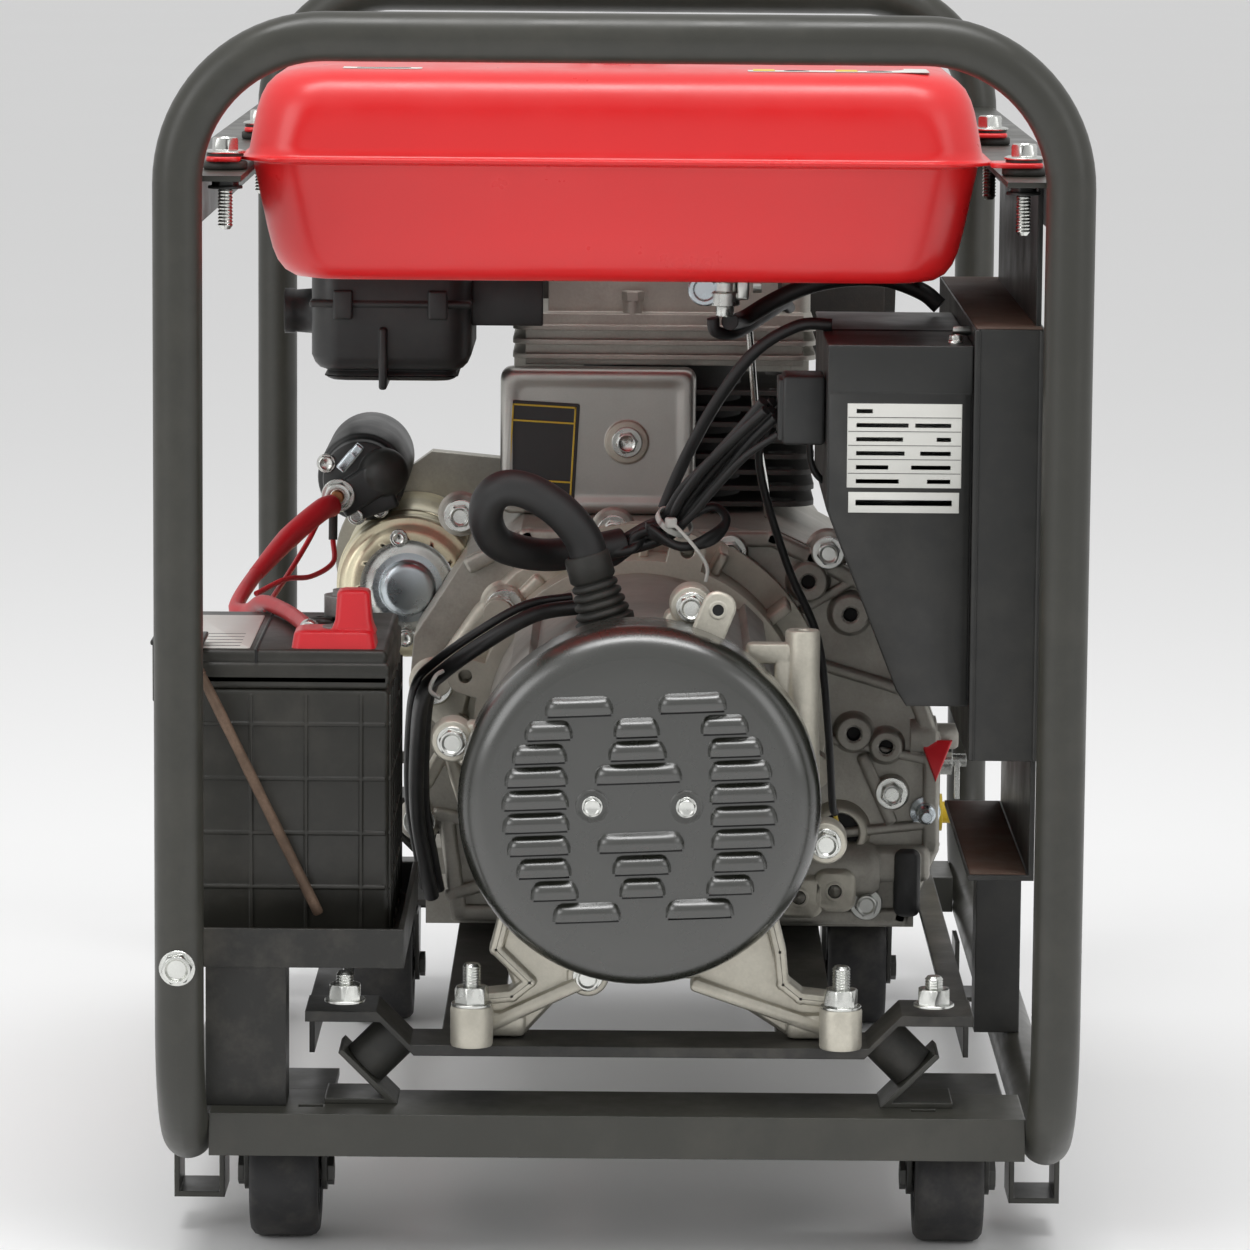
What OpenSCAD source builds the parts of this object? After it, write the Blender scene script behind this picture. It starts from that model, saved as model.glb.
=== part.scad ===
// Engine driven welder: a diesel engine and a welding alternator on a rubber mounted
// cradle, inside a two-hoop tube frame on casters. Millimetres, +Z up, ground at Z = 0,
// -Y is the alternator end, +X is the control panel side.

/* [Frame] */
// Overall width of the hoops, outside
frame_w = 510; // [490:1:620]
// Overall length over both hoops, outside
frame_l = 900; // [880:1:1100]
// Height of the top of the hoops above the ground
frame_top = 705; // [700:1:840]
// Height of the underside of the bottom rails above the ground
rail_under = 57; // [50:1:58]
// Outside diameter of the frame tube
tube_d = 27; // [24:0.5:32]
// Wall of the frame tube
tube_wall = 2.5; // [1.5:0.5:4]
// Bend radius of the frame tube at its centre line
bend_r = 80; // [60:1:100]
// Depth of each channel crossbar along the frame
bar_depth = 64; // [50:1:80]
// Height of each channel crossbar
bar_h = 24; // [20:1:30]
// Sheet thickness of the folded brackets
sheet = 3; // [2:0.5:4]

/* [Casters] */
// Diameter of each wheel
wheel_d = 75; // [65:1:78]
// Width of each wheel
wheel_w = 34; // [24:1:36]
// Diameter of each caster axle
axle_d = 10; // [8:0.5:12]
// Running clearance of a shaft in its bore, on the radius
run_gap = 0.05; // [0.01:0.01:0.1]

/* [Fuel tank] */
// Width of the tank body
tank_w = 400; // [300:1:410]
// Length of the tank flange along the frame
tank_l = 380; // [300:1:400]
// Height of the tank body above its seam
tank_up = 49; // [30:1:52]
// Height of the tank body below its seam
tank_down = 68; // [40:1:72]

/* [Battery] */
// Width of the battery case
batt_w = 127; // [110:1:128]
// Length of the battery case along the frame
batt_l = 165; // [140:1:175]
// Height of the battery over its lid
batt_h = 170; // [150:1:175]

/* [Engine and alternator] */
// Height of the crankshaft above the ground
shaft_z = 267; // [262:1:272]
// Radius of the alternator end cover
cover_r = 101; // [96:1:104]
// Outside radius of the stator
stator_r = 92; // [88:1:94]
// Radius of the rotor
rotor_r = 61; // [50:1:64]
// Radial air gap between rotor and stator
air_gap = 0.8; // [0.5:0.1:1.5]
// Radius of the crankshaft journals
journal_r = 17; // [14:0.5:20]
// Radius of the rotor shaft in the end bearing
rotor_shaft_r = 12.5; // [10:0.5:14]
// Outside radius of the end bearing
bearing_r = 26; // [23:0.5:30]
// Outside radius of the flywheel
fly_r = 132; // [115:1:136]

/* [Control panel] */
// Height of the control panel casing
panel_h = 242; // [220:1:250]
// Length of the control panel casing along the frame
panel_l = 378; // [360:1:400]
// Thickness of the control panel casing
panel_t = 39; // [34:1:40]

/* [Hidden] */
$fn = 48;
gap = 0.3;
tube_r = tube_d / 2;
leg_x = frame_w / 2 - tube_r;
hoop_y = frame_l / 2 - tube_r;
rail_z = rail_under + tube_r;
top_z = frame_top - tube_r;
bar_near = -hoop_y + 32;
bar_z = rail_z - 3;
bar_top = bar_z + bar_h;
bar_half = leg_x - tube_r - 0.1;
bar_in = bar_near + bar_depth;

rail_plate_z = frame_top - 93;
rail_plate_in = leg_x - 33.5;
rail_plate_out = leg_x + 10.5;

cradle_x = 12;
cradle_half = 187.5;
cradle_ramp = 145.5;
cradle_drop = 19;
cradle_t = 6;
cradle_z = 120;
cradle_y = bar_near + 24;
cradle_d = 45;
iso_r = 13.5;
iso_l = 26;
iso_x = cradle_x - cradle_ramp + cradle_drop / 2;
iso_z = cradle_z + cradle_drop / 2;
iso_y = cradle_y + cradle_d / 2;
foot_left = -82;
foot_right = 125;

wheel_x = 190;
wheel_y = bar_in + 29;
swivel_x = 160;
swivel_y = -bar_in - 65;
trail = 20;
fork_in = wheel_w / 2 + 3.7;
fork_t = 3;
crown_z = wheel_d + 4.5;
plate_t = 4;

batt_x = -(leg_x - tube_r) - 28;
batt_y = bar_near + 58;
tray_z = 171;
batt_z = tray_z + sheet + gap;
lid_h = 22;
lid_z = batt_z + batt_h - lid_h;
batt_top = batt_z + batt_h;

tank_x = -5;
seam_z = frame_top - 84;
tank_y = -hoop_y + 60;
tank_r = 34;
flange = 9;
cap_y = tank_y + tank_l / 2;
tank_bolt_x = rail_plate_in + 13;
tank_bolts_y = [tank_y + 18, tank_y + tank_l - 50];

shaft_x = 11;
cover_y = -hoop_y + 20;
cover_l = 54;
brk_y = cover_y + cover_l;
brk_t = 24;
lug_r = stator_r + 17;
lug_angles = [15, 105, 195, 285];
tie_r = 4;
stator_y = brk_y + brk_t + gap;
stator_l = frame_l / 2 - 222;
adapt_y = stator_y + stator_l + gap;
adapt_l = 65;
case_y = adapt_y + adapt_l + gap;
case_l = 230;
case_end = case_y + case_l;
couple_y = adapt_y + 40;
base_z = cradle_z + cradle_t + gap;
case_top = 378;
cyl_x = 24;
cyl_y = 100;
head_z = 470;
chamber_r = 74;
fan_y = case_end + gap;
fan_l = 115;
fan_r = fly_r + 13;
recoil_y = fan_y + fan_l + gap;

start_x = -135;
start_z = 330;
start_y = 43;
start_r = 45;
sol_x = -164.5;
sol_z = 397.5;
sol_r = 28;

panel_x = leg_x - tube_r - 33;
panel_y = -hoop_y + 70;
panel_z = 288;
face_x = panel_x + panel_t;
box_y = panel_y + 5;
box_x = panel_x - 81;
box_l = 222;
box_z = 318;
box_top = 520;
box_cut = 40;
shelf_z = 217;

// ---- helpers -------------------------------------------------------------------

// A round bar along +Y, with its near end at p
module ybar(p, r, l) {
  translate(p)
    rotate([-90, 0, 0])
      cylinder(r = r, h = l);
}

// A round bar along +X, with its left end at p
module xbar(p, r, l) {
  translate(p)
    rotate([0, 90, 0])
      cylinder(r = r, h = l);
}

// A round bar along +Z, with its foot at p
module zbar(p, r, l) {
  translate(p)
    cylinder(r = r, h = l);
}

// A block from its low corner and its high corner
module block(a, b) {
  translate(a)
    cube(b - a);
}

// A flat shape drawn in X and Z, extruded along +Y from y
module xz_plate(y, t) {
  translate([0, y + t, 0])
    rotate([90, 0, 0])
      linear_extrude(height = t)
        children();
}

// A rectangle with round corners, from its low corner
module round_rect(w, h, r) {
  translate([r, 0]) square([w - 2 * r, h]);
  translate([0, r]) square([w, h - 2 * r]);
  for (x = [r, w - r], y = [r, h - r])
    translate([x, y]) circle(r = r);
}

// The ring section of the frame tube
module tube_ring() {
  difference() {
    circle(r = tube_r);
    circle(r = tube_r - tube_wall);
  }
}

// A straight piece of frame tube along +Z
module tube_run(l) {
  linear_extrude(height = l) tube_ring();
}

// A quarter bend of frame tube that starts at the origin going up, and ends going +X
module tube_bend() {
  translate([bend_r, 0, 0])
    rotate([90, 0, 180])
      rotate_extrude(angle = 90)
        translate([bend_r, 0]) tube_ring();
}

// Both sides of something drawn on the +X side
module both_x() {
  children();
  mirror([1, 0, 0]) children();
}

// Both ends of something drawn at the near end
module both_y() {
  children();
  mirror([0, 1, 0]) children();
}

// Unit vector
function unit(v) = v / norm(v);
// A point on a smooth curve through b and c, at t from 0 to 1
function curve_pt(a, b, c, d, t) = 0.5 * ((2 * b) + (c - a) * t
  + (2 * a - 5 * b + 4 * c - d) * t * t + (3 * b - a - 3 * c + d) * t * t * t);
// A smooth curve through the points p, with n steps between each two
function curve(p, n) = concat([for (i = [0 : len(p) - 2], k = [0 : n - 1])
  curve_pt(p[max(i - 1, 0)], p[i], p[i + 1], p[min(i + 2, len(p) - 1)], k / n)],
  [p[len(p) - 1]]);
// Sideways directions carried along the curve without twist
function side_dirs(c, i, u) = i >= len(c) ? [] :
  let (t = unit(c[min(i + 1, len(c) - 1)] - c[max(i - 1, 0)]),
       s = unit(u - t * (u * t)))
  concat([s], side_dirs(c, i + 1, s));
// A closed round cord of radius r through the points p
module cord(p, r, n = 4, sides = 8) {
  c = curve(p, n);
  t0 = unit(c[1] - c[0]);
  start = abs(t0[2]) < 0.8 ? [0, 0, 1] : [1, 0, 0];
  s = side_dirs(c, 0, start);
  rings = [for (i = [0 : len(c) - 1])
    let (t = unit(c[min(i + 1, len(c) - 1)] - c[max(i - 1, 0)]), b = cross(t, s[i]))
    for (k = [0 : sides - 1])
      c[i] + r * (cos(360 * k / sides) * s[i] + sin(360 * k / sides) * b)];
  ends = [[for (k = [sides - 1 : -1 : 0]) k],
    [for (k = [0 : sides - 1]) (len(c) - 1) * sides + k]];
  walls = [for (i = [0 : len(c) - 2], k = [0 : sides - 1])
    let (a = i * sides + k, b = i * sides + (k + 1) % sides)
    [a, b, b + sides, a + sides]];
  polyhedron(points = rings, faces = concat(ends, walls), convexity = 6);
}

// A hexagon nut or bolt head standing on p, af across its flats
module hex(p, af, h) {
  translate(p)
    cylinder(r = af / sqrt(3), h = h, $fn = 6);
}

// ---- frame -----------------------------------------------------------------------

// One inverted U hoop whose legs bend back along the frame at the bottom
module hoop() {
  leg_low = rail_z + bend_r;
  leg_high = top_z - bend_r;
  both_x() {
    translate([leg_x, -hoop_y, leg_low]) tube_run(leg_high - leg_low);
    translate([leg_x, -hoop_y, leg_high]) mirror([1, 0, 0]) tube_bend();
    translate([leg_x, -hoop_y, leg_low]) rotate([0, 0, 90]) mirror([0, 0, 1]) tube_bend();
  }
  translate([-leg_x + bend_r, -hoop_y, top_z])
    rotate([0, 90, 0]) tube_run(2 * (leg_x - bend_r));
}

module near_hoop() {
  color("#3a3b36") hoop();
}

module far_hoop() {
  color("#3a3b36") mirror([0, 1, 0]) hoop();
}

module bottom_rails() {
  color("#3a3b36")
    both_x()
      translate([leg_x, -hoop_y + bend_r, rail_z])
        rotate([-90, 0, 0]) tube_run(2 * (hoop_y - bend_r));
}

// Channel crossbars, open below, with a slot over each isolator bracket
module crossbars() {
  slot_x = 172;
  color("#3a3b36")
    both_y()
      difference() {
        block([-bar_half, bar_near, bar_z], [bar_half, bar_in, bar_top]);
        block([-bar_half - 1, bar_near + sheet, bar_z - 1],
          [bar_half + 1, bar_in - sheet, bar_top - sheet]);
        for (x = [-slot_x, slot_x])
          block([x - 7, bar_near + 18, bar_top - sheet - 1],
            [x + 7, bar_near + 25, bar_top + 1]);
      }
}

// Folded angle rails that carry the tank between the hoops
module tank_rails() {
  rail_end = hoop_y - tube_r;
  color("#3a3b36")
    both_x()
      difference() {
        union() {
          block([rail_plate_in, -rail_end, rail_plate_z],
            [rail_plate_out, rail_end, rail_plate_z + sheet]);
          block([rail_plate_out - sheet, -rail_end, rail_plate_z - 40],
            [rail_plate_out, rail_end, rail_plate_z]);
        }
        for (y = tank_bolts_y)
          zbar([tank_bolt_x, y, rail_plate_z - 1], 4.5, sheet + 2);
      }
}

// U straps under the bottom rails, for standing on a kerb or a truck bed
module skid_feet() {
  strap_y = bar_near + 118;
  strap_low = 20;
  strap_top = rail_under + 4.2;
  color("#3a3b36")
    both_y() both_x()
      difference() {
        block([leg_x - tube_r - 2, strap_y - 20, strap_low],
          [leg_x + tube_r, strap_y + 20, strap_top]);
        block([leg_x - tube_r + 1, strap_y - 21, strap_low + sheet],
          [leg_x + tube_r - sheet, strap_y + 21, strap_top + 1]);
      }
}

// ---- casters -----------------------------------------------------------------------

// A pressed fork with its axle, for a wheel centred at x = 0, y = 0
module fork(y_pin) {
  difference() {
    union() {
      block([-fork_in - fork_t, -22 - max(y_pin, 0), crown_z],
        [fork_in + fork_t, 22 - min(y_pin, 0), crown_z + fork_t]);
      for (s = [-1, 1])
        translate([s * (fork_in + fork_t / 2) - fork_t / 2, 0, 0])
          rotate([90, 0, 90])
            linear_extrude(height = fork_t)
              union() {
                polygon([[-22, crown_z], [22, crown_z], [11, wheel_d / 2],
                  [-11, wheel_d / 2]]);
                translate([0, wheel_d / 2]) circle(r = 11);
              }
    }
    xbar([-40, 0, wheel_d / 2], axle_d / 2 - 0.01, 80);
  }
  xbar([-fork_in - fork_t - 4, 0, wheel_d / 2], axle_d / 2 - 0.02,
    2 * (fork_in + fork_t + 4));
  for (s = [-1, 1])
    translate([s * (fork_in + fork_t + gap), 0, wheel_d / 2])
      rotate([0, s * 90, 0])
        difference() {
          cylinder(r = 8.5, h = 3.5, $fn = 6);
          translate([0, 0, -1]) cylinder(r = axle_d / 2, h = 6);
        }
}

// Top plates on the crossbars, the fixed near forks and the far kingpins
module caster_mounts() {
  plate_low = bar_top - plate_t;
  fork_top = crown_z + fork_t;
  color("#55564f") {
    for (s = [-1, 1]) {
      block([s * wheel_x - 29, bar_in + 0.1, plate_low],
        [s * wheel_x + 29, wheel_y + 27, plate_low + plate_t]);
      block([s * wheel_x - 22, wheel_y - 20, fork_top],
        [s * wheel_x + 22, wheel_y + 20, plate_low]);
      translate([s * wheel_x, wheel_y, 0]) fork(0);
      difference() {
        union() {
          block([s * swivel_x - 32, swivel_y - 32, plate_low],
            [s * swivel_x + 32, -bar_in - 0.1, plate_low + plate_t]);
          zbar([s * swivel_x, swivel_y, fork_top + gap], 21, plate_low - fork_top - gap);
        }
        zbar([s * swivel_x, swivel_y, fork_top - 5], 6, 40);
      }
      zbar([s * swivel_x, swivel_y, crown_z - 4], 6, plate_low + plate_t + 3 - crown_z + 4);
      hex([s * swivel_x, swivel_y, plate_low + plate_t + 3], 17, 5);
    }
  }
}

module swivel_fork(s) {
  color("#7d7f7a")
    difference() {
      translate([s * swivel_x, swivel_y + trail, 0]) fork(trail);
      zbar([s * swivel_x, swivel_y, crown_z - 5], 6 + run_gap, 20);
    }
}

module swivel_fork_left() { swivel_fork(-1); }
module swivel_fork_right() { swivel_fork(1); }

// A rubber tyre and hub, about a bore along X
module wheel_at(p) {
  tread = wheel_w / 2;
  rim_r = wheel_d / 2;
  hub_w = tread + 2.5;
  color("#26272a")
    translate(p)
      rotate([0, 90, 0])
        rotate_extrude()
          polygon([[axle_d / 2 + run_gap, -hub_w], [13, -hub_w], [14, -tread + 3],
            [rim_r - 6, -tread + 1], [rim_r - 4, -tread], [rim_r - 1, -tread + 2],
            [rim_r, -tread + 7], [rim_r, tread - 7], [rim_r - 1, tread - 2],
            [rim_r - 4, tread], [rim_r - 6, tread - 1], [14, tread - 3],
            [13, hub_w], [axle_d / 2 + run_gap, hub_w]]);
}

module wheel_near_left() { wheel_at([-wheel_x, wheel_y, wheel_d / 2]); }
module wheel_near_right() { wheel_at([wheel_x, wheel_y, wheel_d / 2]); }
module wheel_far_left() { wheel_at([-swivel_x, swivel_y + trail, wheel_d / 2]); }
module wheel_far_right() { wheel_at([swivel_x, swivel_y + trail, wheel_d / 2]); }

// ---- cradle -----------------------------------------------------------------------

// Outline of the pressed crossmember in X and Z: level ends, two ramps, a low middle
module crossmember_outline() {
  ramp_in = cradle_ramp - cradle_drop;
  end_z = cradle_z + cradle_drop;
  polygon([[-cradle_half, end_z], [-cradle_ramp, end_z], [-ramp_in, cradle_z],
    [ramp_in, cradle_z], [cradle_ramp, end_z], [cradle_half, end_z],
    [cradle_half, end_z + cradle_t], [cradle_ramp + 2, end_z + cradle_t],
    [ramp_in + 2, cradle_z + cradle_t], [-ramp_in - 2, cradle_z + cradle_t],
    [-cradle_ramp - 2, end_z + cradle_t], [-cradle_half, end_z + cradle_t]]);
}

// Two crossmembers joined by angle side rails
module engine_cradle() {
  rail_w = 14;
  rail_end = -cradle_y - cradle_d;
  end_z = cradle_z + cradle_drop;
  color("#2b2c2a")
    union() {
      both_y()
        difference() {
          xz_plate(cradle_y, cradle_d)
            translate([cradle_x, 0]) crossmember_outline();
          for (x = [foot_left, foot_right])
            zbar([x, iso_y, cradle_z - 1], 5.2, cradle_t + 2);
        }
      for (s = [-1, 1]) {
        block([cradle_x + s * cradle_half - (s > 0 ? rail_w : 0), -rail_end - 1, end_z],
          [cradle_x + s * cradle_half + (s > 0 ? 0 : rail_w), rail_end + 1, end_z + sheet]);
        block([cradle_x + s * cradle_half - (s > 0 ? sheet : 0), -rail_end - 1, 112],
          [cradle_x + s * cradle_half + (s > 0 ? 0 : sheet), rail_end + 1, end_z + 1]);
      }
      for (s = [-1, 1])
        block([cradle_x + s * 95 - 17, -rail_end - 1, cradle_z],
          [cradle_x + s * 95 + 17, rail_end + 1, cradle_z + cradle_t]);
    }
}

// Places something drawn at the near left isolator at all four corners
module at_isolators() {
  both_y()
    for (s = [0, 1])
      translate([cradle_x, 0, 0])
        mirror([s, 0, 0])
          translate([iso_x - cradle_x, iso_y, iso_z])
            rotate([0, -135, 0]) children();
}

// A point in X and Z on the inclined bracket: u up along the plate, v down along the isolator
function incline(u, v) = [iso_x - cradle_x - (u + v) / sqrt(2), iso_z + (u - v) / sqrt(2)];

// Folded brackets on the crossbars: a flat foot and a 45 degree plate
module isolator_brackets() {
  along = iso_l + 2 * gap;
  foot = 41;
  reach = 17;
  z0 = bar_top + 0.02;
  toe = incline(along - (iso_z - z0) * sqrt(2), along);
  heel = incline(along + sheet - (iso_z - z0 - sheet) * sqrt(2), along + sheet);
  color("#3a3b36")
    both_y()
      for (s = [0, 1])
        translate([cradle_x, 0, 0])
          mirror([s, 0, 0])
            xz_plate(iso_y - cradle_d / 2 + 3, cradle_d - 6)
              polygon([[toe[0] - foot, z0], toe, incline(reach, along),
                incline(reach, along + sheet), heel, [toe[0] - foot, z0 + sheet]]);
}

module rubber_isolators() {
  color("#34352f")
    at_isolators()
      translate([0, 0, gap])
        cylinder(r = iso_r, h = iso_l);
}

// ---- battery -----------------------------------------------------------------------

// Tray on a box section post that stands on the near crossbar
module battery_tray() {
  lip = 22;
  left = batt_x - 2;
  right = batt_x + batt_w + 9;
  near = batt_y - 40;
  far = batt_y + batt_l + 9;
  post_x = -(leg_x - tube_r) - 3;
  color("#2d2e2b") {
    block([left, near, tray_z], [right, far, tray_z + sheet]);
    block([left, near, tray_z + sheet], [right, near + sheet, tray_z + lip]);
    block([right - sheet, near + sheet, tray_z + sheet], [right, far, tray_z + lip]);
    block([left, far - sheet, tray_z + sheet], [right - sheet, far, tray_z + lip]);
    difference() {
      block([post_x, near + 2, bar_top], [post_x + 45, near + 34, tray_z]);
      block([post_x + sheet, near + 2 + sheet, bar_top - 1],
        [post_x + 45 - sheet, near + 34 - sheet, tray_z + 1]);
    }
  }
}

module battery_case() {
  rim = 11;
  color("#242523") {
    block([batt_x + 2, batt_y + 2, batt_z], [batt_x + batt_w - 2, batt_y + batt_l - 2,
      lid_z - rim]);
    block([batt_x, batt_y, lid_z - rim + 0.01], [batt_x + batt_w, batt_y + batt_l, lid_z]);
  }
}

module battery_lid() {
  step = 62;
  color("#262725")
    difference() {
      block([batt_x + 1, batt_y + 1, lid_z],
        [batt_x + batt_w - 1, batt_y + batt_l - 1, batt_top]);
      block([batt_x + step, batt_y, batt_top - 6],
        [batt_x + batt_w, batt_y + 45, batt_top + 1]);
    }
}

// Two lead posts with their cable clamps
module battery_terminals() {
  post = [batt_x + batt_w - 32, batt_y + 25, batt_top - 6];
  far_post = [batt_x + batt_w - 32, batt_y + batt_l - 30, batt_top];
  color("#8c8d8a") {
    zbar(post, 8, 17);
    zbar(far_post, 8, 17);
    difference() {
      zbar(far_post + [0, 0, 2], 13, 12);
      zbar(far_post + [0, 0, 1], 8, 14);
    }
  }
}

// Red boot over the near lead post
module terminal_boot() {
  foot = [batt_x + batt_w - 60, batt_y + 5, batt_top - 6];
  color("#d3222a")
    difference() {
      union() {
        block(foot, foot + [54, 40, 16]);
        block(foot + [30, 12, 15], foot + [46, 30, 38]);
      }
      zbar(foot + [28, 20, -1], 8 + gap, 12.5 + 6);
    }
}

// Hook plate and slanted rod that hold the battery on its tray
module battery_clamp() {
  left = batt_x - 7.5;
  slope = 25.9;
  near = batt_y - 6;
  color("#6d6f6b") {
    block([left, batt_y + 2, batt_top + gap], [batt_x + 20, batt_y + 26, batt_top + 3.3]);
    block([left, batt_y + 2, batt_top - 30], [left + sheet, batt_y + 26, batt_top + gap]);
    union() {
      translate([left + 94.5, near - 1, tray_z + 24])
        rotate([0, -slope, 0])
          cylinder(r = 3, h = 199);
      block([left, near - 6, batt_top + 4], [left + 30, batt_y + 26, batt_top + 7]);
      translate([left + 18.3, near - 1, batt_top + 7.7])
        rotate([0, -slope, 0])
          cylinder(r = 5.8, h = 6, $fn = 6);
    }
  }
}

// ---- fuel -----------------------------------------------------------------------

// A rounded slab with its low face at z, set in from the flange by inset
module tank_slab(inset, z, h, r) {
  w = tank_w + 2 * flange - 2 * inset;
  translate([tank_x - w / 2, tank_y + inset, z])
    linear_extrude(height = h)
      round_rect(w, tank_l - 2 * inset, r);
}

// Part of the tank between two levels above the seam, each with its own inset
module tank_wall(inset_a, level_a, inset_b, level_b) {
  hull() {
    tank_slab(inset_a, seam_z + level_a, 1, tank_r);
    tank_slab(inset_b, seam_z + level_b, 1, tank_r);
  }
}

// Two pressed halves with a seam flange, four bolt tabs and a filler neck
module fuel_tank() {
  tab = 30;
  color("#cf1f2b")
    difference() {
      union() {
        tank_slab(0, seam_z - 2, 4, tank_r);
        tank_wall(4, 0, 9, tank_up - 19);
        tank_wall(9, tank_up - 20, 15, tank_up - 9);
        tank_wall(15, tank_up - 10, 28, tank_up - 1);
        tank_wall(7, -1, 17, 17 - tank_down);
        tank_wall(17, 16 - tank_down, 31, -tank_down);
        for (y = tank_bolts_y)
          block([-tank_bolt_x - 10, y - tab / 2, seam_z - 2],
            [tank_bolt_x + 10, y + tab / 2, seam_z + 2]);
        zbar([tank_x, cap_y, seam_z + tank_up - 2], 22, 14);
      }
      for (y = tank_bolts_y, s = [-1, 1])
        zbar([s * tank_bolt_x, y, seam_z - 3], 4.5, 6);
      zbar([tank_x, cap_y, seam_z - 20], 18, 100);
    }
}

// Domed filler cap that turns a quarter turn on the neck
module fuel_cap() {
  low = seam_z + tank_up + 12 + gap;
  color("#b9bcbe")
    union() {
      translate([tank_x, cap_y, low])
        rotate_extrude()
          polygon([[0, 0], [29, 0], [30, 2], [30, 9], [27, 12], [18, 14.5], [0, 15.5]]);
      zbar([tank_x, cap_y, low - 10], 17.5, 10.5);
    }
}

tap_at = [59, -187, seam_z - tank_down];

// Tap body screwed into the underside of the tank, with strainer and outlet
module fuel_tap() {
  color("#b8a66b")
    union() {
      zbar(tap_at + [0, 0, -3.3], 17, 3);
      zbar(tap_at + [0, 0, -22], 8, 20);
      ybar(tap_at + [-14, -14, -13], 7, 18);
      block(tap_at + [-16, -5, -20], tap_at + [16, 5, -6]);
      zbar(tap_at + [-7, 0, -32], 4, 14);
    }
}

// Tap lever on the right end of the body
module tap_lever() {
  color("#c8cac8")
    union() {
      xbar(tap_at + [16.3, 0, -13], 5, 5);
      block(tap_at + [17.3, -4, -15], tap_at + [21.3, 26, -11]);
    }
}

// Fuel hose from the tap outlet to the injection pump, and a larger breather hose
hose_points = [[52, -187, 520], [54, -185, 512], [66, -170, 510], [84, -120, 516],
  [100, -60, 515], [112, -10, 490], [117, 10, 440], [118, 22, 371]];
breather_points = [[70, -110, 530], [88, -118, 536], [118, -130, 541], [150, -145, 541],
  [168, -150, 536], [176, -150, 528], [178, -150, 521.9]];
drop_pipe = [[76, -60, 502], [79, -50, 470], [83, -25, 430], [88, 0, 400], [90, 16, 379.4]];
module fuel_hose() {
  color("#1f2022") {
    cord(hose_points, 3.5);
    cord(breather_points, 5);
    cord(drop_pipe, 2);
  }
}

// ---- engine -----------------------------------------------------------------------

// Places something on the shaft line at y
module on_shaft(y) {
  translate([shaft_x, y, shaft_z])
    rotate([-90, 0, 0])
      children();
}

// Cast crankcase: an outline extruded along the shaft, with the crank chamber inside
module crankcase() {
  wall = 14;
  color("#aeada8")
    difference() {
      union() {
        xz_plate(case_y, case_l)
          polygon([[-104, base_z + 8], [178, base_z + 8], [184, 150], [197, 180],
            [197, 250], [182, 290], [160, 345], [120, 366], [95, case_top],
            [-62, case_top], [-96, 360], [-128, 310], [-132, 260], [-112, 190]]);
        block([-121, case_y + 25, base_z], [183, case_y + 75, base_z + 22]);
        block([-121, case_end - 60, base_z], [183, case_end - 10, base_z + 22]);
      }
      ybar([start_x, start_y - 10, start_z], start_r + gap, 400);
      on_shaft(case_y + wall) cylinder(r = chamber_r, h = case_l - 2 * wall);
      on_shaft(case_y - 1) cylinder(r = journal_r + run_gap, h = case_l + 2);
      zbar([cyl_x, cyl_y, shaft_z + 40], 36, 200);
      for (x = [foot_left - 20, foot_right + 40], y = [case_y + 50, case_end - 35])
        zbar([x, y, base_z - 1], 5.2, 24);
    }
}

// Finned barrel with its bore
module cylinder_barrel() {
  barrel_low = case_top + gap;
  fin_x = -70;
  fin_w = 190;
  fin_y = 40;
  fin_l = 130;
  color("#5d5d59")
    difference() {
      union() {
        zbar([cyl_x, cyl_y, barrel_low], 50, head_z - barrel_low);
        for (i = [0 : 7])
          translate([fin_x, fin_y, barrel_low + 4 + i * 10])
            linear_extrude(height = 3)
              round_rect(fin_w, fin_l, 18);
      }
      zbar([cyl_x, cyl_y, barrel_low - 1], 43, 200);
      for (x = [-50, 100], y = [54, 156])
        zbar([x, y, barrel_low - 1], 9, 200);
    }
}

// Head casting with its cooling fins, rocker cover and injector
module cylinder_head() {
  low = head_z + gap;
  color("#a09f9a")
    union() {
      block([-62, 46, low], [112, 160, low + 32]);
      for (i = [0 : 2])
        translate([-70, 40, low + 4 + i * 9])
          linear_extrude(height = 3)
            round_rect(190, 130, 14);
      block([-48, 60, low + 32], [96, 150, low + 66]);
      block([-40, 66, low + 66], [88, 144, low + 72]);
      zbar([5, 52, low + 32], 6, 8);
      hex([5, 52, low + 40], 12, 6);
      zbar([108, 74, low + 32], 9, 40);
    }
}

// Pressed air baffle over the front of the barrel, with a raised panel
module air_baffle() {
  y = 40 - 8;
  low = case_top + gap;
  color("#c9c8c3")
    union() {
      block([-77, y, low], [45, y + 2, head_z]);
      block([-77, y + 1, head_z - 2], [45, 39.5, head_z]);
      block([-77, y + 1, low], [-75, 39.5, head_z]);
      block([-66, y - 4, low + 9], [36, y + 1, head_z - 10]);
      ybar([2, y - 10, 427], 7, 8);
    }
}

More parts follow.
